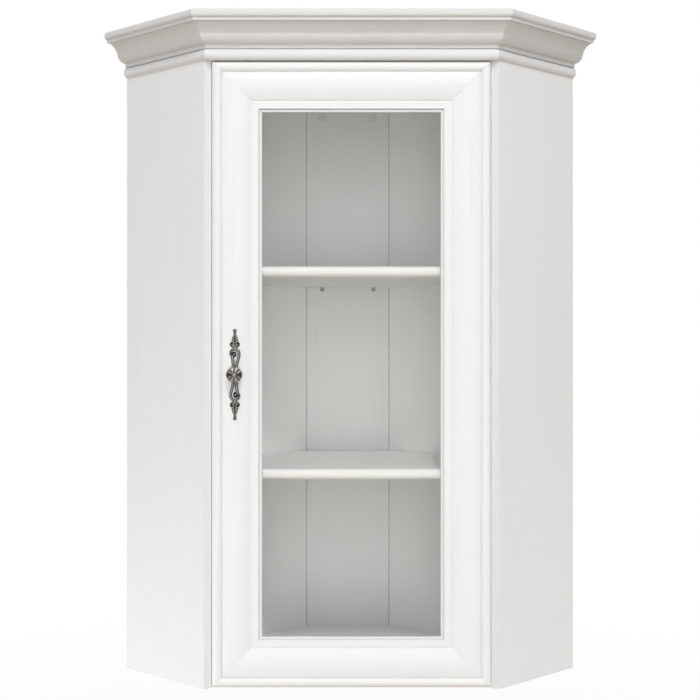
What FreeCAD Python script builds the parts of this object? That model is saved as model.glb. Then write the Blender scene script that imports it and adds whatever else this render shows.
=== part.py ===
import FreeCAD, Part
import Sketcher
import math
import os

# Diagonal corner wall cabinet: two sides square to the walls, a glazed door across the corner,
# a stepped cornice on top. Millimetres; x to the right, y to the back, z up.

Vector = FreeCAD.Vector
document = FreeCAD.newDocument("corner_wall_cabinet")
sheet = document.addObject("Spreadsheet::Sheet", "sizes")

SIZES = [
    # carcass
    ("wall_leg", 552),            # from the room's corner along a wall to a side's outer face
    ("side_depth", 210),          # width of a side, out from the wall
    ("carcass_height", 1032),
    ("board", 16),                # sides, bottom and corner strip
    ("corner_cut", 98),           # from the room's corner out to the strip's rear face
    ("back_thick", 3),
    ("back_set", 20),             # space between the wall and a back panel
    ("groove_depth", 7.5),
    ("groove_slack", 0.15),
    ("back_tongue", 7),
    ("top_thick", 18),
    ("shelf_thick", 18),
    ("upper_shelf_drop", 354),    # from the sides' top down to the shelf's underside
    ("lower_shelf_rise", 341.5),  # from the sides' foot up to the shelf's underside
    ("shelf_slack", 1),
    ("shelf_setback", 24),        # behind the line of the outer front corners
    ("bottom_setback", 20),
    ("shelf_round", 8),
    # cornice
    ("top_reach", 6.5),
    ("top_round", 7.5),
    ("crown_height", 37),
    ("crown_back", 12),
    ("crown_foot_reach", 4),
    ("crown_foot_height", 7),
    ("crown_ledge", 7),
    ("ovolo_reach", 20.5),
    ("ovolo_height", 19),
    ("ovolo_radius", 15),
    ("cove_reach", 37),
    ("cove_radius", 26),
    ("crown_top_back", 14),
    ("crown_spring", 11),
    ("cap_reach", 48),
    ("cap_step_reach", 43),
    ("cap_step", 5),
    ("cap_nose", 13),
    ("cap_round", 4.6),
    ("batten_wide", 18),
    ("batten_start", 200),
    ("block_long", 60),
    ("block_wide", 25),
    ("block_offset", 150),
    # door
    ("door_proud", 4),
    ("door_thick", 22),
    ("door_gap", 1.5),
    ("door_foot", 3),
    ("door_head", 2),
    ("bead_start", 6),
    ("bead_wide", 15.5),
    ("bead_end", 4.5),
    ("bead_radius", 8.4),
    ("quirk_in", 15.8),
    ("quirk_out", 17),
    ("quirk_deep", 6),
    ("field_in", 17.4),
    ("field_start", 3.6),
    ("field_out", 62),
    ("field_end", 8),
    ("field_radius", 60),
    ("step_in", 63.2),
    ("step_out", 65),
    ("step_deep", 9.6),
    ("flat_in", 65.8),
    ("flat_out", 76.2),
    ("flat_deep", 8.6),
    ("sight_groove_in", 76.8),
    ("sight_groove_out", 78.6),
    ("sight_groove_deep", 10.4),
    ("lip_in", 79),
    ("lip_top", 81),
    ("lip_deep", 9.2),
    ("lip_edge", 10.2),
    ("sight", 82),
    ("rebate_in", 70.5),
    ("rebate_deep", 14),
    ("glass_inset", 71.5),
    ("glass_thick", 4),
    ("glass_bead_in", 71),
    ("glass_bead_out", 81.5),
    ("glass_bead_thick", 3.6),
    ("frame_dowel_radius", 4),
    ("frame_dowel_half", 20),
    ("frame_dowel_at", 46),
    ("frame_dowel_deep", 15.5),
    ("hole_slack", 0.05),
    # handle
    ("handle_inset", 38),
    ("handle_seat", 1.15),        # how far the plate's back lies behind the door's front line
    ("plate_thick", 2.6),
    ("plate_half_long", 75),
    ("plate_half_wide", 9),
    ("knob_foot", 4.6),
    ("knob_neck", 3.8),
    ("knob_neck_end", 9),
    ("knob_radius", 13),
    ("knob_rim_start", 14),
    ("knob_rim_end", 16.5),
    ("knob_long", 21),
    ("knob_shoulder", 11.6),
    ("knob_shoulder_end", 18.7),
    ("knob_crown", 7.4),
    ("knob_crown_end", 20.4),
    ("knob_button", 2.6),         # plain middle that the petal grooves run out from
    ("knob_button_end", 20.8),
    ("petal_groove_radius", 0.7),
    ("petal_groove_lift", 0.15),  # groove's axis above the knob's face
    ("knob_bore_deep", 12),
    ("knob_screw_radius", 2),
    ("knob_screw_head", 4),
    ("knob_screw_head_high", 2.4),
    # hinges
    ("hinge_end", 97),            # outer hinges from the door's ends
    ("cup_inset", 21),
    ("cup_radius", 17.5),
    ("cup_fit", 0.05),
    ("cup_wall", 1.05),
    ("cup_deep", 12),
    ("cup_floor", 0.6),
    ("cup_rim_radius", 18.0),
    ("cup_rim", 0.8),
    ("wing_in", 15),
    ("wing_wide", 20),
    ("wing_half", 30),
    ("wing_screw_at", 24),
    ("wing_screw_inset", 30),
    ("cup_pin_inset", 11.9),
    ("cup_pin_deep", 3.5),
    ("cup_pin_half", 13.8),
    ("arm_pin_inset", 32.3),
    ("arm_pin_deep", 2.9),
    ("pin_radius", 1.5),
    ("pin_slack", 0.05),
    ("link_half", 2.4),
    ("link_bulge", 4.5),
    ("link_high", 6.6),
    ("fork_radius", 5.6),
    ("fork_high", 4.4),
    ("tongue_half", 3),
    ("tongue_high", 4),
    ("arm_gap", 2.2),
    ("arm_sheet", 4.3),
    ("arm_high", 8),
    ("arm_bend", 2.5),
    ("hinge_plate_from", 28),     # from the side's front edge
    ("hinge_plate_deep", 28),
    ("hinge_plate_stand", 8),
    ("hinge_plate_high", 7),
    ("plate_wing_from", 33),
    ("plate_wing_deep", 9),
    ("plate_wing_high", 24),
    ("plate_wing_stand", 3),
    ("arm_over", 22),
    ("arm_foot_deep", 36),
    ("arm_foot_thick", 5),
    ("screw_radius", 1.8),
    ("screw_head", 3.2),
    ("screw_head_high", 1.2),
    ("screw_long", 11),
    # fastenings
    ("cam_radius", 7.5),
    ("cam_deep", 12),
    ("cam_drop", 22),
    ("cam_slot", 3.4),
    ("cam_bolt_radius", 3),
    ("cam_bolt_reach", 11),
    ("cam_cap_radius", 8),
    ("cam_cap_thick", 0.8),
    ("cam_front", 60),
    ("cam_rear", 165),
    ("strip_cam_at", 50),
    ("base_cam_from", 26),
    ("dowel_radius", 4),
    ("dowel_half", 10),
    ("shelf_pin_radius", 2.5),
    ("shelf_pin_deep", 9),
    ("shelf_pin_head", 4),
    ("shelf_pin_stand", 7),
    ("side_pin_at", 125),
    ("back_screw_radius", 1.5),
    ("back_screw_long", 12),
    ("bumper_radius", 4),
    ("bumper_thick", 1.6),
    ("bumper_inset", 34),
    # hanging
    ("screw_share", 0.6),         # where a screw stands, as a share of a plate's depth
    ("wing_screw_share", 0.75),
    ("batten_gap", 1),            # between the crown's back and the wood behind it
    ("cut_margin", 1),            # how far a cutting shape passes the piece it cuts
    ("pin_fit", 0.02),            # round a hinge pin that stays still in its bore
    ("hanger_drop", 17),          # from the sides' top down to the plate
    ("hanger_high", 60),
    ("hanger_leg", 40),
    ("hanger_thick", 2),
    ("hanger_gap", 1),
    ("hanger_flange", 17),
    ("hanger_hole_at", 22),
    ("hanger_hole_up", 24),
    ("hanger_hole_radius", 5),
    ("hanger_slot_radius", 2.6),
    ("hanger_slot_up", 14),
]
for row, (alias, number) in enumerate(SIZES, start=1):
    sheet.set(f"A{row}", alias.replace("_", " "))
    sheet.set(f"B{row}", str(number))
    sheet.setAlias(f"B{row}", alias)
document.recompute()


def number_of(expression):
    """Value of a sheet expression."""
    return float(sheet.evalExpression(str(expression).replace("sizes.", "")))


def wall_x(along, off):
    """x of a point at a distance along the right wall and a distance off it."""
    return f"((({along}) - ({off})) / sqrt(2))"


def wall_y(along, off):
    """y of a point at a distance along the right wall and a distance off it."""
    return f"({CORNER_Y} - (({along}) + ({off})) / sqrt(2))"


# Derived lines of the plan.
FRONT_DISTANCE = "((sizes.wall_leg + sizes.side_depth) / sqrt(2))"
CORNER_Y = f"(({FRONT_DISTANCE} + sizes.door_proud + sizes.cap_reach + sizes.corner_cut) / 2)"
FRONT_Y = f"({CORNER_Y} - {FRONT_DISTANCE})"
REAR_Y = f"({CORNER_Y} - sizes.corner_cut)"
STRIP_FRONT_Y = f"({REAR_Y} - sizes.board)"
DOOR_FRONT_Y = f"({FRONT_Y} - sizes.door_proud)"
DOOR_BACK_Y = f"({DOOR_FRONT_Y} + sizes.door_thick)"
OUTER_X = wall_x("sizes.wall_leg", "sizes.side_depth")
INNER_X = wall_x("sizes.wall_leg - sizes.board", "sizes.side_depth")
EDGE_X = f"({INNER_X} - sizes.door_gap)"
INNER_LEG = "(sizes.wall_leg - sizes.board)"
BACK_INNER = "(sizes.back_set + sizes.back_thick)"
DOOR_HIGH = "(sizes.carcass_height - sizes.door_foot - sizes.door_head)"
DOOR_TOP = "(sizes.carcass_height - sizes.door_head)"
DOOR_MIDDLE = f"(sizes.door_foot + {DOOR_HIGH} / 2)"
UPPER_SHELF_FOOT = "(sizes.carcass_height - sizes.upper_shelf_drop)"
LOWER_SHELF_FOOT = "sizes.lower_shelf_rise"
HANGER_FOOT = "(sizes.carcass_height - sizes.hanger_drop - sizes.hanger_high)"
TOP_BOARD_TOP = "(sizes.carcass_height + sizes.top_thick)"
CAP_FOOT = f"({TOP_BOARD_TOP} + sizes.crown_height)"
MITRE = "(sqrt(2) - 1)"
ALONG_X = Vector(1, 0, 0)
ALONG_Y = Vector(0, 1, 0)
ALONG_Z = Vector(0, 0, 1)
HALF_ROOT = math.sqrt(0.5)
ALONG_WALL = Vector(HALF_ROOT, -HALF_ROOT, 0)
INTO_ROOM = Vector(-HALF_ROOT, -HALF_ROOT, 0)
EIGHTH_TURN = 45
QUARTER_TURN = 90
HALF_TURN = 180
NEAR = 0.01
exports = {}


def put(thing, x, y, z, rotation=None):
    """Places a piece, with its position bound to the sheet."""
    thing.Placement = FreeCAD.Placement(Vector(), rotation or FreeCAD.Rotation())
    for letter, expression in zip("xyz", (x, y, z)):
        thing.setExpression(f"Placement.Base.{letter}", str(expression))
    return thing


def box(name, long, wide, high, x, y, z, rotation=None):
    """Block with bound edges."""
    thing = document.addObject("Part::Box", name)
    for key, expression in (("Length", long), ("Width", wide), ("Height", high)):
        thing.setExpression(key, str(expression))
    return put(thing, x, y, z, rotation)


def wall_box(name, along, along_end, off, off_end, foot, top):
    """Block set square to the right wall."""
    turn = FreeCAD.Rotation(ALONG_Z, -EIGHTH_TURN)
    return box(name, f"({along_end}) - ({along})", f"({off_end}) - ({off})", f"({top}) - ({foot})",
               wall_x(along, off_end), wall_y(along, off_end), foot, turn)


def rod(name, radius, long, x, y, z, direction=ALONG_Z):
    """Round bar that starts at a point and runs in a direction."""
    thing = document.addObject("Part::Cylinder", name)
    thing.setExpression("Radius", str(radius))
    thing.setExpression("Height", str(long))
    return put(thing, x, y, z, FreeCAD.Rotation(ALONG_Z, direction))


def wall_rod(name, radius, long, along, off, z, direction):
    """Round bar placed from the right wall."""
    return rod(name, radius, long, wall_x(along, off), wall_y(along, off), z, direction)


def fuse(name, things):
    """One solid from pieces that touch."""
    thing = document.addObject("Part::MultiFuse", name)
    thing.Shapes = things
    return thing


def gather(name, things):
    """A group of separate solids."""
    thing = document.addObject("Part::Compound", name)
    thing.Links = things
    return thing


def cut(name, base, tools):
    """Takes tools away from a piece."""
    thing = document.addObject("Part::Cut", name)
    thing.Base = base
    thing.Tool = tools[0] if len(tools) == 1 else gather(name + "_tools", tools)
    return thing


def mirror(name, source, normal=ALONG_X, height=None):
    """Mirror image in the middle plane, or in a level plane."""
    thing = document.addObject("Part::Mirroring", name)
    thing.Source = source
    thing.Normal = normal
    if height is not None:
        thing.setExpression("Base.z", height)
    return thing


def both(name, things):
    """Pieces and their mirror images, as plain lists."""
    return things + [mirror(f"{name}_{index}", thing) for index, thing in enumerate(things)]


def keep(name, thing):
    """Marks a finished piece for export under its node name."""
    thing.Label = name
    exports[name] = thing
    return thing


def plane_of(body, role):
    """Origin plane of a body."""
    return [item for item in body.Origin.OriginFeatures if item.Role == role][0]


def outline(body, name, role, corners):
    """Closed outline; a corner is (x, y) or (x, y, radius, side) when an arc leaves it.

    side is 1 when the arc's centre lies to the left of the way from this corner to the next.
    """
    sketch = body.newObject("Sketcher::SketchObject", name)
    sketch.AttachmentSupport = [(plane_of(body, role), "")]
    sketch.MapMode = "FlatFace"
    add_loop(sketch, corners)
    return sketch


def add_loop(sketch, corners):
    """Adds a closed loop of bound corners to a sketch."""
    spots = [Vector(number_of(corner[0]), number_of(corner[1]), 0) for corner in corners]
    first = sketch.GeometryCount
    ends = []
    for index, corner in enumerate(corners):
        start = spots[index]
        stop = spots[(index + 1) % len(spots)]
        if len(corner) == 2:
            sketch.addGeometry(Part.LineSegment(start, stop), False)
            ends.append((1, 2))
            continue
        radius = number_of(corner[2])
        way = stop - start
        half = way.Length / 2
        rise = math.sqrt(max(radius * radius - half * half, 0))
        left = Vector(-way.y, way.x, 0) / way.Length
        centre = start + way / 2 + left * (rise * corner[3])
        angles = [math.atan2(spot.y - centre.y, spot.x - centre.x) for spot in (start, stop)]
        if corner[3] < 0:
            angles.reverse()
        if angles[1] < angles[0]:
            angles[1] += 2 * math.pi
        circle = Part.Circle(centre, ALONG_Z, radius)
        sketch.addGeometry(Part.ArcOfCircle(circle, angles[0], angles[1]), False)
        ends.append((1, 2) if corner[3] > 0 else (2, 1))
    for index, corner in enumerate(corners):
        before = (index - 1) % len(corners)
        sketch.addConstraint(Sketcher.Constraint("Coincident", first + before, ends[before][1],
                                                 first + index, ends[index][0]))
        for kind, expression, number in (("DistanceX", corner[0], spots[index].x),
                                         ("DistanceY", corner[1], spots[index].y)):
            place = sketch.addConstraint(Sketcher.Constraint(kind, -1, 1, first + index,
                                                             ends[index][0], number))
            if str(expression) != "0":
                sketch.setExpression(f"Constraints[{place}]", str(expression))
        if len(corner) > 2:
            place = sketch.addConstraint(Sketcher.Constraint("Radius", first + index,
                                                             number_of(corner[2])))
            sketch.setExpression(f"Constraints[{place}]", str(corner[2]))


def new_body(name):
    """Empty body."""
    return document.addObject("PartDesign::Body", name)


def pad(body, name, sketch, long):
    """Raises an outline."""
    thing = body.newObject("PartDesign::Pad", name)
    thing.Profile = sketch
    thing.setExpression("Length", str(long))
    return thing


def pocket_through(body, name, sketch):
    """Cuts an outline right through, both ways."""
    thing = body.newObject("PartDesign::Pocket", name)
    thing.Profile = sketch
    thing.Type = "ThroughAll"
    thing.Midplane = True
    return thing


def prism(name, corners, high, x, y, z, rotation=None):
    """Upright prism on a bound plan."""
    body = new_body(name)
    pad(body, name + "_pad", outline(body, name + "_plan", "XY_Plane", corners), high)
    return put(body, x, y, z, rotation)


def mirrored_plan(corners):
    """Right half of a plan, from the front to the back, completed on the left."""
    left = [(f"-({x})", y) for x, y in corners]
    return corners + left[::-1]


def round_edges(body, name, base, radius, wanted):
    """Rounds the edges whose middle passes a test."""
    document.recompute()
    names = []
    for index, edge in enumerate(base.Shape.Edges, start=1):
        if wanted(edge.CenterOfMass, edge):
            names.append(f"Edge{index}")
    thing = body.newObject("PartDesign::Fillet", name)
    thing.Base = (base, names)
    thing.setExpression("Radius", radius)
    return thing


def cornice_plan(reach):
    """Plan of a cornice board that stands out by reach past the sides and the door."""
    return mirrored_plan([
        (f"{OUTER_X} - sizes.door_proud + ({reach}) * {MITRE}", f"{DOOR_FRONT_Y} - ({reach})"),
        (wall_x(f"sizes.wall_leg + ({reach})", "0"), wall_y(f"sizes.wall_leg + ({reach})", "0")),
        ("sizes.corner_cut", REAR_Y),
    ])


def front_edges(reach):
    """Test for the level edges on the three free faces of a cornice board."""
    front = number_of(DOOR_FRONT_Y) - number_of(reach)
    corner = number_of(CORNER_Y)
    leg = number_of("sizes.wall_leg") + number_of(reach)
    def wanted(middle, edge):
        box_of_edge = edge.BoundBox
        if box_of_edge.ZLength > NEAR:
            return False
        side = (abs(middle.x) - middle.y + corner) / math.sqrt(2)
        return abs(middle.y - front) < NEAR or abs(side - leg) < NEAR
    return wanted


# Fastening holes are gathered per board before the boards are cut.
side_holes = []
strip_holes = []
top_holes = []
bottom_holes = []
cams = []
bolts = []
caps = []
dowels = []
shelf_pins = []
HOLE = "sizes.hole_slack"
CAM_Z = "(sizes.carcass_height - sizes.cam_drop)"
BOLT_LONG = "(sizes.cam_drop + sizes.cam_bolt_reach)"
SIDE_MIDDLE = "(sizes.wall_leg - sizes.board / 2)"


def cam_set(name, cam_at, cam_direction, bolt_at, bolt_direction, bolt_long, cam_holes, bolt_holes, capped):
    """A cam lock, its bolt and the holes for them. Points are (x, y, z) expressions."""
    cam = rod(name + "_cam", "sizes.cam_radius", "sizes.cam_deep", *cam_at, cam_direction)
    slot = rod(name + "_slot", "sizes.cam_slot", bolt_long, *bolt_at, bolt_direction)
    cams.append(cut(name + "_lock", cam, [slot]))
    bolts.append(rod(name + "_bolt", "sizes.cam_bolt_radius", bolt_long, *bolt_at, bolt_direction))
    cam_holes.append(rod(name + "_seat", f"sizes.cam_radius + {HOLE}", f"sizes.cam_deep + {HOLE}", *cam_at,
                         cam_direction))
    for holes in (cam_holes, bolt_holes):
        holes.append(rod(f"{name}_bore_{len(holes)}", f"sizes.cam_bolt_radius + {HOLE}",
                         f"{bolt_long} + {HOLE}", *bolt_at, bolt_direction))
    if capped:
        caps.append(rod(name + "_cap", "sizes.cam_cap_radius", "sizes.cam_cap_thick", *cam_at, -cam_direction))


def dowel(name, at, direction, first_holes, second_holes):
    """A dowel across a joint; its middle lies on the joint."""
    half = "sizes.dowel_half"
    start = [f"({coordinate}) - ({part}) * {half}" for coordinate, part in zip(at, direction)]
    dowels.append(rod(name, "sizes.dowel_radius", f"2 * {half}", *start, direction))
    for holes in (first_holes, second_holes):
        holes.append(rod(f"{name}_hole_{len(holes)}", f"sizes.dowel_radius + {HOLE}", f"2 * {half}",
                         *start, direction))


def wall_point(along, off, z):
    """Point given from the right wall."""
    return wall_x(along, off), wall_y(along, off), z


for where in ("cam_front", "cam_rear"):
    off = f"(sizes.{where})"
    cam_set("side_" + where, wall_point(INNER_LEG, off, CAM_Z), ALONG_WALL,
            wall_point(SIDE_MIDDLE, off, CAM_Z), ALONG_Z, BOLT_LONG, side_holes, top_holes, True)
    start = f"({INNER_LEG} - sizes.base_cam_from)"
    cam_set("base_" + where, wall_point(start, off, "0"), ALONG_Z,
            wall_point(start, off, "sizes.board / 2"), ALONG_WALL,
            "(sizes.base_cam_from + sizes.cam_bolt_reach)", bottom_holes, side_holes, False)
STRIP_MIDDLE_Y = f"({REAR_Y} - sizes.board / 2)"
cam_set("strip", ("sizes.strip_cam_at", STRIP_FRONT_Y, CAM_Z), ALONG_Y,
        ("sizes.strip_cam_at", STRIP_MIDDLE_Y, CAM_Z), ALONG_Z, BOLT_LONG, strip_holes, top_holes, True)
MIDDLE_OFF = "((sizes.cam_front + sizes.cam_rear) / 2)"
dowel("top_dowel", wall_point(SIDE_MIDDLE, MIDDLE_OFF, "sizes.carcass_height"), ALONG_Z, side_holes, top_holes)
dowel("base_dowel", wall_point(INNER_LEG, MIDDLE_OFF, "sizes.board / 2"), ALONG_WALL, side_holes, bottom_holes)
dowel("strip_dowel", ("sizes.strip_cam_at", STRIP_FRONT_Y, "sizes.board / 2"), ALONG_Y, strip_holes, bottom_holes)

for level, foot in (("upper", UPPER_SHELF_FOOT), ("lower", LOWER_SHELF_FOOT)):
    pin_z = f"({foot} - sizes.shelf_pin_head)"
    spots = ((f"{level}_strip_pin", ("sizes.strip_cam_at", STRIP_FRONT_Y, pin_z), ALONG_Y, strip_holes),
             (f"{level}_side_pin", wall_point(INNER_LEG, "sizes.side_pin_at", pin_z), ALONG_WALL, side_holes))
    for name, at, direction, holes in spots:
        stem = rod(name + "_stem", "sizes.shelf_pin_radius", "sizes.shelf_pin_deep", *at, direction)
        head = rod(name + "_head", "sizes.shelf_pin_head", "sizes.shelf_pin_stand", *at, -direction)
        shelf_pins.append(fuse(name, [stem, head]))
        holes.append(rod(name + "_hole", f"sizes.shelf_pin_radius + {HOLE}", f"sizes.shelf_pin_deep + {HOLE}",
                         *at, direction))

# Hanger: an angle plate behind the back panel, with a keyhole in the leg beside the wall.
hanger_top = f"({HANGER_FOOT} + sizes.hanger_high)"
flange_face = f"({INNER_LEG} - sizes.hanger_thick)"
hanger_end = f"({flange_face} - sizes.hanger_leg)"
wall_leg_off = "(sizes.hanger_gap + sizes.hanger_thick)"
flange = wall_box("hanger_flange_plate", flange_face, INNER_LEG, "sizes.hanger_gap",
                  "sizes.hanger_gap + sizes.hanger_flange", HANGER_FOOT, hanger_top)
leg = wall_box("hanger_wall_plate", hanger_end, flange_face, "sizes.hanger_gap", wall_leg_off,
               HANGER_FOOT, hanger_top)
hole_at = f"({flange_face} - sizes.hanger_hole_at)"
hole_z = f"({HANGER_FOOT} + sizes.hanger_hole_up)"
entry = wall_rod("hanger_entry", "sizes.hanger_hole_radius", "2 * sizes.hanger_thick", hole_at,
                 "sizes.hanger_gap - sizes.hanger_thick / 2", hole_z, INTO_ROOM)
slot_end = wall_rod("hanger_slot_end", "sizes.hanger_slot_radius", "2 * sizes.hanger_thick", hole_at,
                    "sizes.hanger_gap - sizes.hanger_thick / 2", f"{hole_z} + sizes.hanger_slot_up", INTO_ROOM)
slot = wall_box("hanger_slot", f"{hole_at} - sizes.hanger_slot_radius", f"{hole_at} + sizes.hanger_slot_radius",
                "sizes.hanger_gap - sizes.hanger_thick / 2", f"{wall_leg_off} + sizes.hanger_thick / 2",
                hole_z, f"{hole_z} + sizes.hanger_slot_up")
hanger_blank = fuse("hanger_blank", [flange, leg])
bracket_screws = []
bracket_bores = []
for index, share in enumerate((0.25, 0.75)):
    screw_z = f"({HANGER_FOOT} + {share} * sizes.hanger_high)"
    screw_off = "(sizes.hanger_gap + sizes.screw_share * sizes.hanger_flange)"
    shank = wall_rod(f"bracket_shank_{index}", "sizes.screw_radius", "sizes.screw_long", flange_face, screw_off,
                     screw_z, ALONG_WALL)
    head = wall_rod(f"bracket_head_{index}", "sizes.screw_head", "sizes.screw_head_high",
                    f"{flange_face} - sizes.screw_head_high", screw_off, screw_z, ALONG_WALL)
    bracket_screws.append(fuse(f"bracket_screw_{index}", [shank, head]))
    for holes in (bracket_bores, side_holes):
        holes.append(wall_rod(f"bracket_bore_{index}_{len(holes)}", f"sizes.screw_radius + {HOLE}",
                              f"sizes.screw_long + {HOLE}", flange_face, screw_off, screw_z, ALONG_WALL))
hanger = keep("hanger_bracket_right", cut("hanger_right", hanger_blank, [entry, slot_end, slot] + bracket_bores))
keep("hanger_bracket_left", mirror("hanger_left", hanger))
keep("bracket_screws", gather("bracket_screw_group", both("bracket_screw_left", bracket_screws)))

# Hinges. Everything is measured from the door's hinge edge and back face.


def hinge_x(inset):
    """x at a distance in from the door's hinge edge."""
    return f"({EDGE_X} - ({inset}))"


def hinge_y(depth):
    """y at a depth into the door from its back face."""
    return f"({DOOR_BACK_Y} - ({depth}))"


hinge_levels = {
    "lower": "(sizes.door_foot + sizes.hinge_end)",
    "middle": DOOR_MIDDLE,
    "upper": f"({DOOR_TOP} - sizes.hinge_end)",
}
link_span_x = "(sizes.arm_pin_inset - sizes.cup_pin_inset)"
link_span_y = "(sizes.arm_pin_deep - sizes.cup_pin_deep)"
LINK_LONG = f"sqrt({link_span_x} ^ 2 + {link_span_y} ^ 2)"
link_angle = math.degrees(math.atan2(number_of(link_span_y), number_of(link_span_x)))
arm_pins = []
cup_pins = []
cup_screws = []
plate_screws = []
arm_screws = []
cup_bores = []
right_side_holes = []
CAVITY = "(sizes.cup_radius - sizes.cup_wall)"
for level, centre in hinge_levels.items():
    cup_x = hinge_x("sizes.cup_inset")
    shell = rod(f"{level}_shell", "sizes.cup_radius - sizes.cup_fit", "sizes.cup_deep", cup_x,
                hinge_y("sizes.cup_deep"), centre, ALONG_Y)
    rim = rod(f"{level}_rim", "sizes.cup_rim_radius", "sizes.cup_rim", cup_x, DOOR_BACK_Y, centre, ALONG_Y)
    wings = box(f"{level}_wings", "sizes.wing_wide", "sizes.cup_rim", "2 * sizes.wing_half",
                hinge_x("sizes.wing_in + sizes.wing_wide"), DOOR_BACK_Y, f"{centre} - sizes.wing_half")
    hollow = rod(f"{level}_hollow", CAVITY, "2 * sizes.cup_deep", cup_x,
                 hinge_y("sizes.cup_deep - sizes.cup_floor"), centre, ALONG_Y)
    pin_x = hinge_x("sizes.cup_pin_inset")
    pin_y = hinge_y("sizes.cup_pin_deep")
    pin_foot = f"{centre} - sizes.cup_pin_half"
    cup_pins.append(rod(f"{level}_cup_pin", "sizes.pin_radius", "2 * sizes.cup_pin_half", pin_x, pin_y, pin_foot))
    pin_bore = rod(f"{level}_cup_pin_bore", "sizes.pin_radius + sizes.pin_fit", "2 * sizes.cup_pin_half",
                   pin_x, pin_y, pin_foot)
    cup_tools = [hollow, pin_bore]
    cup_bores.append(rod(f"{level}_cup_bore", "sizes.cup_radius", f"sizes.cup_deep + {HOLE}", cup_x,
                         hinge_y(f"sizes.cup_deep + {HOLE}"), centre, ALONG_Y))
    for index, sign in enumerate((1, -1)):
        screw_x = hinge_x("sizes.wing_screw_inset")
        screw_z = f"({centre} + {sign} * sizes.wing_screw_at)"
        shank = rod(f"{level}_cup_shank_{index}", "sizes.screw_radius", "sizes.screw_long + sizes.cup_rim",
                    screw_x, hinge_y("sizes.screw_long"), screw_z, ALONG_Y)
        head = rod(f"{level}_cup_head_{index}", "sizes.screw_head", "sizes.screw_head_high", screw_x,
                   f"{DOOR_BACK_Y} + sizes.cup_rim", screw_z, ALONG_Y)
        cup_screws.append(fuse(f"{level}_cup_screw_{index}", [shank, head]))
        for holes in (cup_tools, cup_bores):
            holes.append(rod(f"{level}_cup_screw_bore_{index}_{len(holes)}", f"sizes.screw_radius + {HOLE}",
                             "sizes.screw_long + 2 * sizes.cup_rim", screw_x,
                             hinge_y(f"sizes.screw_long + {HOLE}"), screw_z, ALONG_Y))
    keep(f"hinge_cup_{level}", cut(f"{level}_cup", fuse(f"{level}_cup_blank", [shell, rim, wings]), cup_tools))

    arm_x = hinge_x("sizes.arm_pin_inset")
    arm_y = hinge_y("sizes.arm_pin_deep")
    web = prism(f"{level}_link_web", [
        ("0", "-sizes.link_half"),
        (f"{LINK_LONG} / 2", "-sizes.link_half - sizes.link_bulge"),
        (LINK_LONG, "-sizes.link_half"),
        (LINK_LONG, "sizes.link_half"),
        (f"{LINK_LONG} / 2", "sizes.link_half - sizes.link_bulge"),
        ("0", "sizes.link_half"),
    ], "2 * sizes.link_high", arm_x, arm_y, f"{centre} - sizes.link_high", FreeCAD.Rotation(ALONG_Z, link_angle))
    ends = [rod(f"{level}_link_end_{index}", "sizes.link_half", "2 * sizes.link_high", x, y,
                f"{centre} - sizes.link_high") for index, (x, y) in enumerate(((arm_x, arm_y), (pin_x, pin_y)))]
    link = fuse(f"{level}_link_blank", [web] + ends)
    fork = rod(f"{level}_fork", "sizes.fork_radius", "2 * sizes.fork_high", arm_x, arm_y,
               f"{centre} - sizes.fork_high")
    eyes = [rod(f"{level}_eye_{index}", "sizes.pin_radius + sizes.pin_slack", "4 * sizes.link_high", x, y,
                f"{centre} - 2 * sizes.link_high")
            for index, (x, y) in enumerate(((arm_x, arm_y), (pin_x, pin_y)))]
    keep(f"hinge_link_{level}", cut(f"{level}_link", link, [fork] + eyes))
    arm_pins.append(rod(f"{level}_arm_pin", "sizes.pin_radius", "2 * sizes.link_high", arm_x, arm_y,
                        f"{centre} - sizes.link_high"))

    stand = "sizes.hinge_plate_stand"
    face = f"({INNER_LEG} - {stand})"
    front_off = "(sizes.side_depth - sizes.hinge_plate_from)"
    plate = wall_box(f"{level}_plate_body", face, INNER_LEG, f"{front_off} - sizes.hinge_plate_deep", front_off,
                     f"{centre} - sizes.hinge_plate_high", f"{centre} + sizes.hinge_plate_high")
    wing_off = "(sizes.side_depth - sizes.plate_wing_from)"
    plate_wings = wall_box(f"{level}_plate_wings", f"{INNER_LEG} - sizes.plate_wing_stand", INNER_LEG,
                           f"{wing_off} - sizes.plate_wing_deep", wing_off,
                           f"{centre} - sizes.plate_wing_high", f"{centre} + sizes.plate_wing_high")
    screw_off = f"({wing_off} - sizes.plate_wing_deep / 2)"
    plate_tools = []
    for index, sign in enumerate((1, -1)):
        screw_z = f"({centre} + {sign} * sizes.wing_screw_share * sizes.plate_wing_high)"
        top_face = f"({INNER_LEG} - sizes.plate_wing_stand)"
        shank = wall_rod(f"{level}_plate_shank_{index}", "sizes.screw_radius", "sizes.screw_long", top_face,
                         screw_off, screw_z, ALONG_WALL)
        head = wall_rod(f"{level}_plate_head_{index}", "sizes.screw_head", "sizes.screw_head_high",
                        f"{top_face} - sizes.screw_head_high", screw_off, screw_z, ALONG_WALL)
        plate_screws.append(fuse(f"{level}_plate_screw_{index}", [shank, head]))
        for holes in (plate_tools, right_side_holes):
            holes.append(wall_rod(f"{level}_plate_bore_{index}_{len(holes)}", f"sizes.screw_radius + {HOLE}",
                                  f"sizes.screw_long + {HOLE}", top_face, screw_off, screw_z, ALONG_WALL))
    arm_screw_off = f"({front_off} - sizes.screw_share * sizes.hinge_plate_deep)"
    foot_face = f"({face} - sizes.arm_foot_thick)"
    arm_bore = wall_rod(f"{level}_arm_bore", f"sizes.screw_radius + {HOLE}", "sizes.screw_long", foot_face,
                        arm_screw_off, centre, ALONG_WALL)
    shank = wall_rod(f"{level}_arm_shank", "sizes.screw_radius", f"sizes.screw_long - {HOLE}", foot_face,
                     arm_screw_off, centre, ALONG_WALL)
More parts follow.
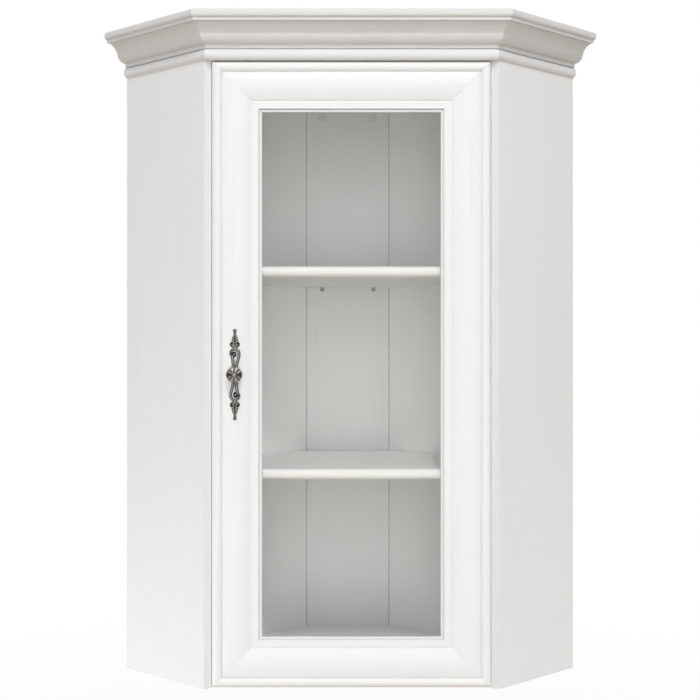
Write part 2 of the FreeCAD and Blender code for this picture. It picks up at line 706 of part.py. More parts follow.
    head = wall_rod(f"{level}_arm_head", "sizes.screw_head", "sizes.screw_head_high",
                    f"{foot_face} - sizes.screw_head_high", arm_screw_off, centre, ALONG_WALL)
    arm_screws.append(fuse(f"{level}_arm_screw", [shank, head]))
    keep(f"hinge_plate_{level}", cut(f"{level}_plate", fuse(f"{level}_plate_blank", [plate, plate_wings]),
                                     plate_tools + [arm_bore]))

    arm_front_off = "(sizes.side_depth - sizes.arm_over)"
    foot = wall_box(f"{level}_arm_foot", foot_face, face, f"{arm_front_off} - sizes.arm_foot_deep", arm_front_off,
                    f"{centre} - sizes.arm_high", f"{centre} + sizes.arm_high")
    tip = hinge_x("sizes.arm_pin_inset + sizes.tongue_half")
    near_face = hinge_y("-sizes.arm_gap")
    far_face = hinge_y("-sizes.arm_gap - sizes.arm_sheet")
    neck = prism(f"{level}_arm_neck", [
        (tip, near_face),
        (hinge_x("sizes.arm_bend"), near_face),
        (wall_x(face, arm_front_off), wall_y(face, arm_front_off)),
        (wall_x(foot_face, arm_front_off), wall_y(foot_face, arm_front_off)),
        (hinge_x("sizes.arm_bend + sizes.arm_sheet / 2"), far_face),
        (tip, far_face),
    ], "2 * sizes.arm_high", "0", "0", f"{centre} - sizes.arm_high")
    tongue = box(f"{level}_arm_tongue", "2 * sizes.tongue_half",
                 "sizes.arm_pin_deep + sizes.arm_gap + sizes.arm_sheet / 2", "2 * sizes.tongue_high", tip, arm_y,
                 f"{centre} - sizes.tongue_high")
    eye = rod(f"{level}_arm_eye", "sizes.tongue_half", "2 * sizes.tongue_high", arm_x, arm_y,
              f"{centre} - sizes.tongue_high")
    pin_hole = rod(f"{level}_arm_pin_hole", "sizes.pin_radius + sizes.pin_fit", "2 * sizes.link_high",
                   arm_x, arm_y, f"{centre} - sizes.link_high")
    keep(f"hinge_arm_{level}", cut(f"{level}_arm", fuse(f"{level}_arm_blank", [foot, neck, tongue, eye]),
                                   [pin_hole, arm_bore]))
keep("arm_pins", gather("arm_pin_group", arm_pins))
keep("cup_pins", gather("cup_pin_group", cup_pins))
keep("cup_screws", gather("cup_screw_group", cup_screws))
keep("hinge_plate_screws", gather("hinge_plate_screw_group", plate_screws))
keep("hinge_arm_screws", gather("hinge_arm_screw_group", arm_screws))

# Sides, with a groove for the back panel.
side_blank = wall_box("side_blank", INNER_LEG, "sizes.wall_leg", "0", "sizes.side_depth", "0",
                      "sizes.carcass_height")
groove = wall_box("side_groove", INNER_LEG, f"{INNER_LEG} + sizes.groove_depth",
                  "sizes.back_set - sizes.groove_slack", f"{BACK_INNER} + sizes.groove_slack", "0",
                  "sizes.carcass_height")
side_common = cut("side_common", side_blank, [groove] + side_holes)
keep("side_panel_left", mirror("side_left", side_common))
keep("side_panel_right", cut("side_right", side_common, right_side_holes))

# Corner strip and back panels.
strip_plan = mirrored_plan([
    (f"{wall_x('0', BACK_INNER)} + sizes.corner_cut + sizes.board - {BACK_INNER} / sqrt(2)", STRIP_FRONT_Y),
    (f"sizes.corner_cut - {BACK_INNER} * sqrt(2)", REAR_Y),
])
strip_blank = prism("strip_blank", strip_plan, "sizes.carcass_height", "0", "0", "0")
BACK_START = "(sqrt(2) * sizes.corner_cut - sizes.back_set + sizes.cut_margin)"
SCREW_ALONG = f"(sqrt(2) * (sizes.corner_cut + sizes.board / 2) - {BACK_INNER})"
# Heights of the back screws as shares of the carcass height.
BACK_SCREW_SHARES = (0.1, 0.37, 0.63, 0.9)
back_screws = []
back_bores = []
for index, share in enumerate(BACK_SCREW_SHARES):
    screw_z = f"({share} * sizes.carcass_height)"
    head_off = "(sizes.back_set - sizes.screw_head_high)"
    shank = wall_rod(f"back_shank_{index}", "sizes.back_screw_radius", "sizes.back_screw_long", SCREW_ALONG,
                     "sizes.back_set", screw_z, INTO_ROOM)
    head = wall_rod(f"back_head_{index}", "sizes.screw_head", "sizes.screw_head_high", SCREW_ALONG, head_off,
                    screw_z, INTO_ROOM)
    back_screws.append(fuse(f"back_screw_{index}", [shank, head]))
    for holes in (back_bores, strip_holes):
        holes.append(wall_rod(f"back_bore_{index}_{len(holes)}", f"sizes.back_screw_radius + {HOLE}",
                              f"sizes.back_screw_long + {HOLE}", SCREW_ALONG, "sizes.back_set", screw_z,
                              INTO_ROOM))
back_blank = wall_box("back_blank", BACK_START, f"{INNER_LEG} + sizes.back_tongue", "sizes.back_set", BACK_INNER,
                      "0", "sizes.carcass_height")
back_right = keep("back_panel_right", cut("back_right", back_blank, back_bores))
keep("back_panel_left", mirror("back_left", back_right))
keep("back_panel_screws", gather("back_screw_group", both("back_screw_left", back_screws)))
keep("corner_back_strip", cut("strip", strip_blank, both("strip_hole_left", strip_holes)))


def inside_plan(slack, front):
    """Plan of a board that lies inside the carcass."""
    leg = f"{INNER_LEG} - ({slack})"
    off = f"{BACK_INNER} + ({slack})"
    front_y = f"({FRONT_Y} + {front})"
    rear_y = f"({STRIP_FRONT_Y} - ({slack}))"
    return mirrored_plan([
        (f"sqrt(2) * ({leg}) - {CORNER_Y} + {front_y}", front_y),
        (wall_x(leg, off), wall_y(leg, off)),
        (f"{CORNER_Y} - sqrt(2) * ({off}) - {rear_y}", rear_y),
    ])


bottom_blank = prism("bottom_blank", inside_plan("0", "sizes.bottom_setback"), "sizes.board", "0", "0", "0")
keep("bottom_panel", cut("bottom", bottom_blank, both("bottom_hole_left", bottom_holes)))
shelf_front = number_of(f"{FRONT_Y} + sizes.shelf_setback")
for level, foot in (("upper", UPPER_SHELF_FOOT), ("lower", LOWER_SHELF_FOOT)):
    shelf = prism(f"{level}_shelf_board", inside_plan("sizes.shelf_slack", "sizes.shelf_setback"),
                  "sizes.shelf_thick", "0", "0", foot)
    round_edges(shelf, f"{level}_shelf_nose", shelf.Tip, "sizes.shelf_round",
                lambda middle, edge: abs(middle.y - shelf_front) < NEAR and edge.BoundBox.ZLength < NEAR)
    keep(f"{level}_shelf", shelf)
keep("shelf_pins", gather("shelf_pin_group", both("shelf_pin_left", shelf_pins)))
keep("cam_locks", gather("cam_group", both("cam_left", cams)))
keep("cam_bolts", gather("bolt_group", both("bolt_left", bolts)))
keep("cam_caps", gather("cap_group", both("cap_left", caps)))
keep("dowels", gather("dowel_group", both("dowel_left", dowels)))
bumper = rod("bumper_right", "sizes.bumper_radius", "sizes.bumper_thick", f"{EDGE_X} - sizes.bumper_inset",
             f"{FRONT_Y} + sizes.bottom_setback - sizes.bumper_thick", "sizes.board / 2", ALONG_Y)
keep("door_bumpers", gather("bumper_group", both("bumper_left", [bumper])))

# Cornice: top board, three lengths of crown moulding, cap, and the wood that carries the cap.
top_blank = prism("top_blank", cornice_plan("sizes.top_reach"), "sizes.top_thick", "0", "0", "0")
round_edges(top_blank, "top_nose", top_blank.Tip, "sizes.top_round", front_edges("sizes.top_reach"))
put(top_blank, "0", "0", "sizes.carcass_height")
keep("top_board", cut("top", top_blank, both("top_hole_left", top_holes)))

cap = new_body("cap")
step_plan = outline(cap, "cap_step_plan", "XY_Plane", cornice_plan("sizes.cap_step_reach"))
pad(cap, "cap_step_pad", step_plan, "sizes.cap_step + sizes.cap_nose / 2")
nose_plan = outline(cap, "cap_nose_plan", "XY_Plane", cornice_plan("sizes.cap_reach"))
nose_plan.setExpression("AttachmentOffset.Base.z", "sizes.cap_step")
nose_pad = pad(cap, "cap_nose_pad", nose_plan, "sizes.cap_nose")
round_edges(cap, "cap_nose", nose_pad, "sizes.cap_round", front_edges("sizes.cap_reach"))
put(cap, "0", "0", CAP_FOOT)
keep("cornice_cap", cap)


def crown_profile(body, name):
    """Section of the crown moulding: x outwards, y up."""
    return outline(body, name, "XY_Plane", [
        ("-sizes.crown_back", "0"),
        ("sizes.crown_foot_reach", "0"),
        ("sizes.crown_foot_reach", "sizes.crown_foot_height"),
        ("sizes.crown_ledge", "sizes.crown_foot_height", "sizes.ovolo_radius", 1),
        ("sizes.ovolo_reach", "sizes.ovolo_height", "sizes.cove_radius", -1),
        ("sizes.cove_reach", "sizes.crown_height"),
        ("sizes.crown_top_back", "sizes.crown_height"),
        ("-sizes.crown_back", "sizes.crown_spring"),
    ])


def mitre_corner(far):
    """Offcut outside the mitre at one end, in the plane of reach and length."""
    inner = "(-sizes.crown_back - sizes.cut_margin)"
    outer = "(sizes.cove_reach + sizes.cut_margin)"
    return [(inner, f"({far}) + {inner} * {MITRE}"), (outer, f"({far}) + {outer} * {MITRE}"),
            (inner, f"({far}) + {outer} * {MITRE}")]


front_half = f"({OUTER_X} - sizes.door_proud)"
front_reach = f"((sizes.cove_reach + sizes.cut_margin) * {MITRE})"
crown_front = new_body("crown_front_body")
pad(crown_front, "crown_front_pad", crown_profile(crown_front, "crown_front_profile"),
    f"2 * {front_half} + 2 * {front_reach}")
far_offcut = mitre_corner(f"2 * {front_half} + {front_reach}")
offcuts = outline(crown_front, "crown_front_mitres", "XZ_Plane", far_offcut)
add_loop(offcuts, [(x, f"2 * {front_half} + 2 * {front_reach} - ({z})") for x, z in far_offcut])
pocket_through(crown_front, "crown_front_cut", offcuts)
put(crown_front, f"{front_half} + {front_reach}", DOOR_FRONT_Y, TOP_BOARD_TOP,
    FreeCAD.Rotation(-ALONG_Y, ALONG_Z, -ALONG_X, "XYZ"))
keep("crown_front", crown_front)
side_run = "(sizes.side_depth + sizes.door_proud * sqrt(2))"
crown_right = new_body("crown_right_body")
pad(crown_right, "crown_right_pad", crown_profile(crown_right, "crown_right_profile"),
    f"{side_run} + {front_reach}")
pocket_through(crown_right, "crown_right_cut",
               outline(crown_right, "crown_right_mitre", "XZ_Plane", mitre_corner(side_run)))
put(crown_right, wall_x("sizes.wall_leg", "0"), wall_y("sizes.wall_leg", "0"), TOP_BOARD_TOP,
    FreeCAD.Rotation(ALONG_WALL, ALONG_Z, INTO_ROOM, "XYZ"))
keep("crown_right", crown_right)
keep("crown_left", mirror("crown_left_piece", crown_right))
batten = wall_box("batten_right", "sizes.batten_start", "sizes.wall_leg - sizes.crown_back - sizes.batten_gap",
                  "0", "sizes.batten_wide", TOP_BOARD_TOP, CAP_FOOT)
keep("cornice_battens", gather("batten_group", both("batten_left", [batten])))
block = box("block_right", "sizes.block_long", "sizes.block_wide", "sizes.crown_height",
            "sizes.block_offset - sizes.block_long / 2", f"{DOOR_FRONT_Y} + sizes.crown_back + sizes.batten_gap",
            TOP_BOARD_TOP)
rear_block = box("block_rear", "sizes.block_long", "sizes.block_wide", "sizes.crown_height",
                 "-sizes.block_long / 2", f"{REAR_Y} - sizes.block_wide", TOP_BOARD_TOP)
keep("cornice_blocks", gather("block_group", both("block_left", [block]) + [rear_block]))

# Door frame: four mitred lengths of one moulding.


def door_profile(body, name):
    """Section of the door moulding: x in from the door's edge, y back from its front line."""
    return outline(body, name, "XY_Plane", [
        ("0", "sizes.bead_start", "sizes.bead_radius", 1),
        ("sizes.bead_wide", "sizes.bead_end"),
        ("sizes.quirk_in", "sizes.quirk_deep"),
        ("sizes.quirk_out", "sizes.quirk_deep"),
        ("sizes.field_in", "sizes.field_start", "sizes.field_radius", 1),
        ("sizes.field_out", "sizes.field_end"),
        ("sizes.step_in", "sizes.step_deep"),
        ("sizes.step_out", "sizes.step_deep"),
        ("sizes.flat_in", "sizes.flat_deep"),
        ("sizes.flat_out", "sizes.flat_deep"),
        ("sizes.sight_groove_in", "sizes.sight_groove_deep"),
        ("sizes.sight_groove_out", "sizes.sight_groove_deep"),
        ("sizes.lip_in", "sizes.lip_deep"),
        ("sizes.lip_top", "sizes.lip_deep"),
        ("sizes.sight", "sizes.lip_edge"),
        ("sizes.sight", "sizes.rebate_deep"),
        ("sizes.rebate_in", "sizes.rebate_deep"),
        ("sizes.rebate_in", "sizes.door_thick"),
        ("0", "sizes.door_thick"),
    ])


def frame_member(name, long):
    """One length of door moulding with a mitre at each end."""
    body = new_body(name)
    pad(body, name + "_pad", door_profile(body, name + "_profile"), long)
    far = "(sizes.sight + sizes.cut_margin)"
    mitres = outline(body, name + "_mitres", "XZ_Plane", [("0", "0"), (far, "0"), (far, far)])
    add_loop(mitres, [("0", long), (far, f"{long} - {far}"), (far, long)])
    pocket_through(body, name + "_cut", mitres)
    return body


stile = put(frame_member("stile_blank", DOOR_HIGH), f"-{EDGE_X}", DOOR_FRONT_Y, "sizes.door_foot")
rail = put(frame_member("rail_blank", f"(2 * {EDGE_X})"), f"-{EDGE_X}", DOOR_FRONT_Y, DOOR_TOP,
           FreeCAD.Rotation(ALONG_Y, QUARTER_TURN))
ACROSS_MITRE = Vector(HALF_ROOT, 0, HALF_ROOT)
dowel_shift = "(sizes.frame_dowel_half / sqrt(2))"
dowel_start = (f"-{EDGE_X} + sizes.frame_dowel_at - {dowel_shift}", f"{DOOR_FRONT_Y} + sizes.frame_dowel_deep",
               f"{DOOR_TOP} - sizes.frame_dowel_at - {dowel_shift}")
frame_dowel = rod("frame_dowel", "sizes.frame_dowel_radius", "2 * sizes.frame_dowel_half", *dowel_start,
                  ACROSS_MITRE)
dowel_hole = rod("frame_dowel_hole", f"sizes.frame_dowel_radius + {HOLE}", "2 * sizes.frame_dowel_half",
                 *dowel_start, ACROSS_MITRE)
low_hole = mirror("frame_dowel_hole_low", dowel_hole, ALONG_Z, DOOR_MIDDLE)
low_dowel = mirror("frame_dowel_low", frame_dowel, ALONG_Z, DOOR_MIDDLE)
keep("frame_dowels", gather("frame_dowel_group", both("frame_dowel_right", [frame_dowel, low_dowel])))
stile_drilled = cut("stile_drilled", stile, [dowel_hole, low_hole])
rail_top = keep("door_rail_top", cut("rail_top", rail, both("rail_hole", [dowel_hole])))
keep("door_rail_bottom", mirror("rail_bottom", rail_top, ALONG_Z, DOOR_MIDDLE))
keep("door_stile_right", cut("stile_right", mirror("stile_right_blank", stile_drilled), cup_bores))

# Glass and the beads that hold it from behind.
GLASS_Y = f"({DOOR_FRONT_Y} + sizes.rebate_deep)"
BEAD_Y = f"({GLASS_Y} + sizes.glass_thick)"
keep("glass_pane", box("glass", f"2 * ({EDGE_X} - sizes.glass_inset)", "sizes.glass_thick",
                       f"{DOOR_HIGH} - 2 * sizes.glass_inset", f"-{EDGE_X} + sizes.glass_inset", GLASS_Y,
                       "sizes.door_foot + sizes.glass_inset"))
BEAD_WIDE = "(sizes.glass_bead_out - sizes.glass_bead_in)"
bead_left = box("bead_left_blank", BEAD_WIDE, "sizes.glass_bead_thick", f"{DOOR_HIGH} - 2 * sizes.glass_bead_out",
                f"-{EDGE_X} + sizes.glass_bead_in", BEAD_Y, "sizes.door_foot + sizes.glass_bead_out")
bead_top = box("bead_top_blank", f"2 * ({EDGE_X} - sizes.glass_bead_in)", "sizes.glass_bead_thick", BEAD_WIDE,
               f"-{EDGE_X} + sizes.glass_bead_in", BEAD_Y, f"{DOOR_TOP} - sizes.glass_bead_out")
keep("glazing_bead_left", bead_left)
keep("glazing_bead_right", mirror("bead_right", bead_left))
keep("glazing_bead_top", bead_top)
keep("glazing_bead_bottom", mirror("bead_bottom", bead_top, ALONG_Z, DOOR_MIDDLE))

# Handle: a pierced plate, a mushroom knob, and the screw that holds both from behind.
HANDLE_X = f"(-{EDGE_X} + sizes.handle_inset)"
PLATE_BACK_Y = f"({DOOR_FRONT_Y} + sizes.handle_seat)"
PLATE_FRONT_Y = f"({PLATE_BACK_Y} - sizes.plate_thick)"
# Half of the plate's edge from its middle to its tip, as shares of half width and half length.
PLATE_EDGE_SHARES = [
    (0.52, 0), (0.52, 0.22), (0.6, 0.27), (0.73, 0.33), (0.87, 0.39), (0.99, 0.445), (1, 0.48), (0.86, 0.52),
    (0.56, 0.548), (0.4, 0.568), (0.48, 0.593), (0.69, 0.62), (0.77, 0.65), (0.71, 0.683), (0.58, 0.696),
    (0.56, 0.72), (0.58, 0.765), (0.52, 0.807), (0.38, 0.853), (0.23, 0.89), (0.2, 0.904), (0.31, 0.928),
    (0.335, 0.957), (0.27, 0.984), (0.11, 1),
]
quarter = [(f"{wide} * sizes.plate_half_wide", f"{long} * sizes.plate_half_long")
           for wide, long in PLATE_EDGE_SHARES]
upper = quarter + [(f"-({x})", y) for x, y in quarter[::-1]]
lower = [(f"-({x})", f"-({y})") for x, y in upper[1:-1]]
PLATE_TURN = FreeCAD.Rotation(ALONG_X, QUARTER_TURN)
backplate = prism("backplate_blank", upper + lower, "sizes.plate_thick", HANDLE_X, PLATE_BACK_Y, DOOR_MIDDLE,
                  PLATE_TURN)
# Opening of the upper half: up the inside of one arm, round the top, and back round the curl and the
# other arm. The lower half has the same opening turned half round.
PLATE_OPENING_SHARES = [
    (0.11, 0.247), (0.3, 0.3), (0.445, 0.367), (0.545, 0.435), (0.51, 0.48), (0.33, 0.511), (0.07, 0.516),
    (0.21, 0.488), (0.267, 0.448), (0.167, 0.408), (-0.055, 0.381), (-0.122, 0.34), (-0.09, 0.29),
]
plate_holes = []
for end in (1, -1):
    opening = [(f"{end * wide} * sizes.plate_half_wide", f"{end * long} * sizes.plate_half_long")
               for wide, long in PLATE_OPENING_SHARES]
    plate_holes.append(prism(f"plate_opening_{end + 1}", opening, "3 * sizes.plate_thick", HANDLE_X,
                             f"{PLATE_BACK_Y} + sizes.plate_thick", DOOR_MIDDLE, PLATE_TURN))
SCREW_HEAD_Y = DOOR_BACK_Y
screw_tip_y = f"({PLATE_FRONT_Y} - sizes.knob_bore_deep + sizes.cut_margin)"
screw_run = f"({SCREW_HEAD_Y} - {screw_tip_y})"
knob_shank = rod("knob_shank", "sizes.knob_screw_radius", screw_run, HANDLE_X, screw_tip_y, DOOR_MIDDLE, ALONG_Y)
knob_head = rod("knob_head", "sizes.knob_screw_head", "sizes.knob_screw_head_high", HANDLE_X, SCREW_HEAD_Y,
                DOOR_MIDDLE, ALONG_Y)
keep("knob_screw", fuse("knob_screw_solid", [knob_shank, knob_head]))
knob_bore = rod("knob_bore", f"sizes.knob_screw_radius + {HOLE}", f"{screw_run} + sizes.cut_margin", HANDLE_X,
                f"{screw_tip_y} - sizes.cut_margin", DOOR_MIDDLE, ALONG_Y)
keep("handle_backplate", cut("backplate", backplate, plate_holes + [knob_bore]))
keep("door_stile_left", cut("stile_left", stile_drilled, [knob_bore]))
knob = new_body("knob_body")
knob_section = outline(knob, "knob_section", "XY_Plane", [
    ("0", "0"),
    ("sizes.knob_foot", "0"),
    ("sizes.knob_neck", "sizes.knob_neck_end / 2"),
    ("sizes.knob_foot", "sizes.knob_neck_end"),
    ("sizes.knob_radius", "sizes.knob_rim_start"),
    ("sizes.knob_radius", "sizes.knob_rim_end"),
    ("sizes.knob_shoulder", "sizes.knob_shoulder_end"),
    ("sizes.knob_crown", "sizes.knob_crown_end"),
    ("0", "sizes.knob_long"),
])
turned = knob.newObject("PartDesign::Revolution", "knob_turned")
turned.Profile = knob_section
turned.ReferenceAxis = (knob_section, ["V_Axis"])
turned.Angle = 2 * HALF_TURN
put(knob, HANDLE_X, PLATE_FRONT_Y, DOOR_MIDDLE, FreeCAD.Rotation(ALONG_X, HALF_TURN))
KNOB_PETALS = 8
# Face of the knob from its middle outwards: distance from the axis and distance out from the plate.
KNOB_FACE = [("sizes.knob_button", "sizes.knob_button_end"), ("sizes.knob_crown", "sizes.knob_crown_end"),
             ("sizes.knob_shoulder", "sizes.knob_shoulder_end"), ("sizes.knob_radius", "sizes.knob_rim_end")]
petal_grooves = []
for step in range(KNOB_PETALS):
    angle = 2 * math.pi * step / KNOB_PETALS
    across = math.cos(angle)
    up = math.sin(angle)
    for index, ((reach, out), (reach_end, out_end)) in enumerate(zip(KNOB_FACE, KNOB_FACE[1:])):
        run = number_of(f"{reach_end} - {reach}")
        rise = number_of(f"{out_end} - {out}")
        petal_grooves.append(rod(
            f"petal_groove_{step}_{index}", "sizes.petal_groove_radius",
            f"sqrt(pow({reach_end} - {reach}; 2) + pow({out_end} - {out}; 2)) + sizes.petal_groove_radius / 2",
            f"{HANDLE_X} + {across} * {reach}", f"{PLATE_FRONT_Y} - {out} - sizes.petal_groove_lift",
            f"{DOOR_MIDDLE} + {up} * {reach}", Vector(across * run, -rise, up * run)))
keep("handle_knob", cut("knob", knob, petal_grooves + [knob_bore]))

document.recompute()
for thing in document.Objects:
    if "Invalid" in thing.State or "Error" in thing.State:
        raise RuntimeError(f"{thing.Name} did not rebuild: {thing.State}")
os.makedirs("parts", exist_ok=True)
for name, thing in exports.items():
    shape = thing.Shape
    if shape.isNull() or not shape.isValid() or not shape.Solids:
        raise RuntimeError(f"{name} has no valid solid")
    thing.Label = name
    shape.exportStep(f"parts/{name}.step")
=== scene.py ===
"""Dresses the corner wall cabinet: board finishes, plated fittings, a cast handle and a pale studio."""
import math

import bmesh
import bpy
from bpy.props import FloatProperty, FloatVectorProperty, IntProperty, PointerProperty
from mathutils import Matrix, Vector


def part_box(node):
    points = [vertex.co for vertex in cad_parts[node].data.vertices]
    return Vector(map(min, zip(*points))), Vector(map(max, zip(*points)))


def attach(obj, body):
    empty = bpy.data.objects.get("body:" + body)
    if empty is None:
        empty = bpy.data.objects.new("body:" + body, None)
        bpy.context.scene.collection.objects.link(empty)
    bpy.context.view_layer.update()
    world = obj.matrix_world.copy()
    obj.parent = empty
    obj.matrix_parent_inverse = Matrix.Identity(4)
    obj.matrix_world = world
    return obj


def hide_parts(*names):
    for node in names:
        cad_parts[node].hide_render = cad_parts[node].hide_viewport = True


bl_info = {
    "name": "Corner wall cabinet",
    "version": (1, 0, 0),
    "blender": (4, 5, 0),
    "location": "View3D > Sidebar > Cabinet",
    "description": "Finishes, cast handle and studio for a glazed corner wall cabinet",
    "category": "Object",
}

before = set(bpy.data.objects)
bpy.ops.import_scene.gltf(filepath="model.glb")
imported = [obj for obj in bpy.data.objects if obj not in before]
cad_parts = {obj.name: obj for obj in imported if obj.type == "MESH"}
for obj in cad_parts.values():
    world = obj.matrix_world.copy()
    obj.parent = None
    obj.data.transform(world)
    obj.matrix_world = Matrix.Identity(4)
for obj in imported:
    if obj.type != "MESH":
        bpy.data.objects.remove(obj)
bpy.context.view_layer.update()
MILLIMETRE = 0.001
EIGHTH_TURN = math.radians(45)
QUARTER_TURN = math.pi / 2
HALF_TURN = math.pi
FULL_TURN = 2 * math.pi

# Grain: how often its noise repeats in a metre across the cabinet, into its depth and up it.
UPRIGHT_GRAIN = (260.0, 260.0, 3.0)
ACROSS_GRAIN = (3.0, 260.0, 260.0)
SOFTWOOD_GRAIN = (12, 240, 240)
PAINT_GRAIN = (40, 40, 40)
# The ways that a board's grain runs: its noise and its turn about the upright.
GRAIN_WAYS = {
    "upright": (UPRIGHT_GRAIN, 0.0),
    "across": (ACROSS_GRAIN, 0.0),
    "right": (ACROSS_GRAIN, -EIGHTH_TURN),
    "left": (ACROSS_GRAIN, EIGHTH_TURN),
}
# Parts of a noise, from where it begins to show to where it shows in full.
GRAIN_LINE_SPAN = (0.45, 0.78)
CLOUD_SPAN = (0.3, 0.75)
MARK_SPAN = (0.3, 0.7)
NOISE_MEAN = 0.5
# Patina: how hollow a place is where it begins to darken and where it is dark, how far blotches shift that,
# and the roughness of dark and rubbed places.
PATINA_SPAN = (0.0, 0.8)
PATINA_BLOTCHES = 0.7
PATINA_ROUGHNESS = (0.6, 0.36)
# Soft clouding of a board, and how much rougher its grain lines are.
FOIL_CLOUDING = 0.3
PAINT_CLOUDING = 0.6
SOFTWOOD_CLOUDING = 0.4
GRAIN_ROUGHER = 0.1
# Relief of a surface: its strength and its depth in metres.
BOARD_RELIEF = (0.08, 0.0002)
PLATED_RELIEF = (0.12, 0.0001)
CAST_RELIEF = (0.25, 0.00015)
# Radius, in metres, to which a sharp edge is softened.
FOIL_EDGE = 0.0009
SOFTWOOD_EDGE = 0.0006
PLATED_EDGE = 0.0002
EDGE_SAMPLES = 4
# Plating, plastic and glass: roughness at its smoothest and dullest, and how fine its marks are.
NICKEL_POLISH = (0.16, 0.36, 700.0)
ZINC_POLISH = (0.22, 0.45, 600.0)
DIE_CAST_POLISH = (0.35, 0.6, 500.0)
CAP_POLISH = (0.4, 0.55, 300.0)
RUBBER_POLISH = (0.35, 0.5, 300.0)
GLASS_POLISH = (0.0, 0.025, 6.0)
MARK_TONE = 0.86
PLASTIC = 0.0
CAP_COLOUR = (0.775, 0.779, 0.77)
RUBBER_COLOUR = (0.72, 0.74, 0.74)
CAST_METALLIC = 0.9
GLASS_REFRACTION = 1.45
PAINT_GRAIN_COLOUR = (0.908, 0.914, 0.904)
PAINT_ROUGHNESS = 0.55
SOFTWOOD_ROUGHNESS = 0.6
SOFTWOOD_GRAIN_TONE = 0.62
# Corner strip against the back panels, and the painted shade in the joints beside it.
STRIP_TONE = 0.885
STRIP_GRAIN_TONE = 0.93
JOINT_WIDTH = 0.001
JOINT_SOFT = 0.002
JOINT_PAINTED_SHADE = (0.62, 0.62, 0.6)
# Band along the front and back edges of the shelves.
SHELF_BAND = 0.004
SHELF_BAND_TONE = (0.92, 0.92, 0.925)
# Groove round the door's glass, measured outwards from the edge of the opening.
GROOVE_NEAR = 0.0034
GROOVE_FAR = 0.0052
GROOVE_SOFT = 0.0002
# Painted shade in the groove: darkest on the top rail, which light from above leaves in shade, and lightest
# on the bottom rail.
STILE_GROOVE_PAINTED_SHADE = (0.75, 0.75, 0.74)
TOP_GROOVE_PAINTED_SHADE = (0.42, 0.42, 0.41)
BOTTOM_GROOVE_PAINTED_SHADE = (0.84, 0.84, 0.83)
# Name of the value that says how hollow each place of the handle is; on the knob's side petals it also
# carries a painted reflection.
HOLLOW_AND_REFLECTION = "hollow"


def colour_setting(name, description, default):
    """Colour that a user would change."""
    return FloatVectorProperty(
        name=name, description=description, subtype="COLOR", size=3, min=0, max=1, default=default)


def length_setting(name, description, low, high, default):
    """Length that a user would change, in metres."""
    return FloatProperty(
        name=name, description=description, subtype="DISTANCE", unit="LENGTH", min=low, max=high,
        default=default)


def power_setting(name, description, default):
    """Power of a lamp that a user would change, in watts."""
    return FloatProperty(
        name=name, description=description, subtype="POWER", min=0, max=1000, default=default)


def share_setting(name, description, default):
    """Share of one that a user would change."""
    return FloatProperty(
        name=name, description=description, subtype="FACTOR", min=0, max=1, default=default)


class CabinetFinishes(bpy.types.PropertyGroup):
    """Colours and surface values of the cabinet."""

    foil: colour_setting("White foil", "Colour of the sides and the door", (0.876, 0.889, 0.893))
    # The inside foil is the white foil made lighter as painted light, standing in for more light inside the
    # cabinet.
    foil_inside: colour_setting(
        "Inside foil", "Colour of the shelves and the bottom", (0.943, 0.949, 0.942))
    # The cornice and top board foils are the white foil darkened as painted shade, standing in for the shade
    # on the crown moulding, the cap and the top board.
    foil_cornice: colour_setting(
        "Cornice foil", "Colour of the crown moulding and the cap", (0.736, 0.742, 0.743))
    foil_top: colour_setting(
        "Top board foil", "Colour of the board below the crown moulding", (0.806, 0.816, 0.818))
    foil_grain: share_setting(
        "Foil grain", "Share of the foil's lightness that its faint grain lines keep", 0.957)
    foil_roughness: share_setting("Foil roughness", "Roughness of the white foil", 0.42)
    # Made lighter as painted light, standing in for more light inside the cabinet.
    hardboard: colour_setting("Back board", "Colour of the thin back panels", (0.943, 0.949, 0.94))
    glass_tint: colour_setting("Glass tint", "Colour of light that passes the pane", (0.99, 0.992, 0.98))
    brass_raised: colour_setting(
        "Raised brass", "Colour where the handle is rubbed bright", (0.43, 0.4, 0.365))
    brass_recess: colour_setting("Dark brass", "Colour in the handle's hollows", (0.018, 0.016, 0.014))
    nickel: colour_setting("Nickel", "Colour of the hinges", (0.70, 0.69, 0.67))
    zinc: colour_setting("Zinc", "Colour of the screws and hangers", (0.60, 0.61, 0.63))
    die_cast: colour_setting("Die-cast zinc", "Colour of the cam locks and shelf pins", (0.36, 0.36, 0.37))
    softwood: colour_setting(
        "Softwood", "Colour of the bare blocks, battens and dowels", (0.62, 0.44, 0.26))


class CabinetHandle(bpy.types.PropertyGroup):
    """Sizes of the cast handle's relief."""

    petals: IntProperty(
        name="Petals", description="Petals of the knob's rosette", min=3, max=24, default=8)
    petal_groove: length_setting(
        "Petal groove", "Depth of the grooves between the petals", 0, 0.003, 0.0007)
    petal_round: length_setting(
        "Petal rounding", "Fall of a petal from its middle to its sides", 0, 0.003, 0.0011)


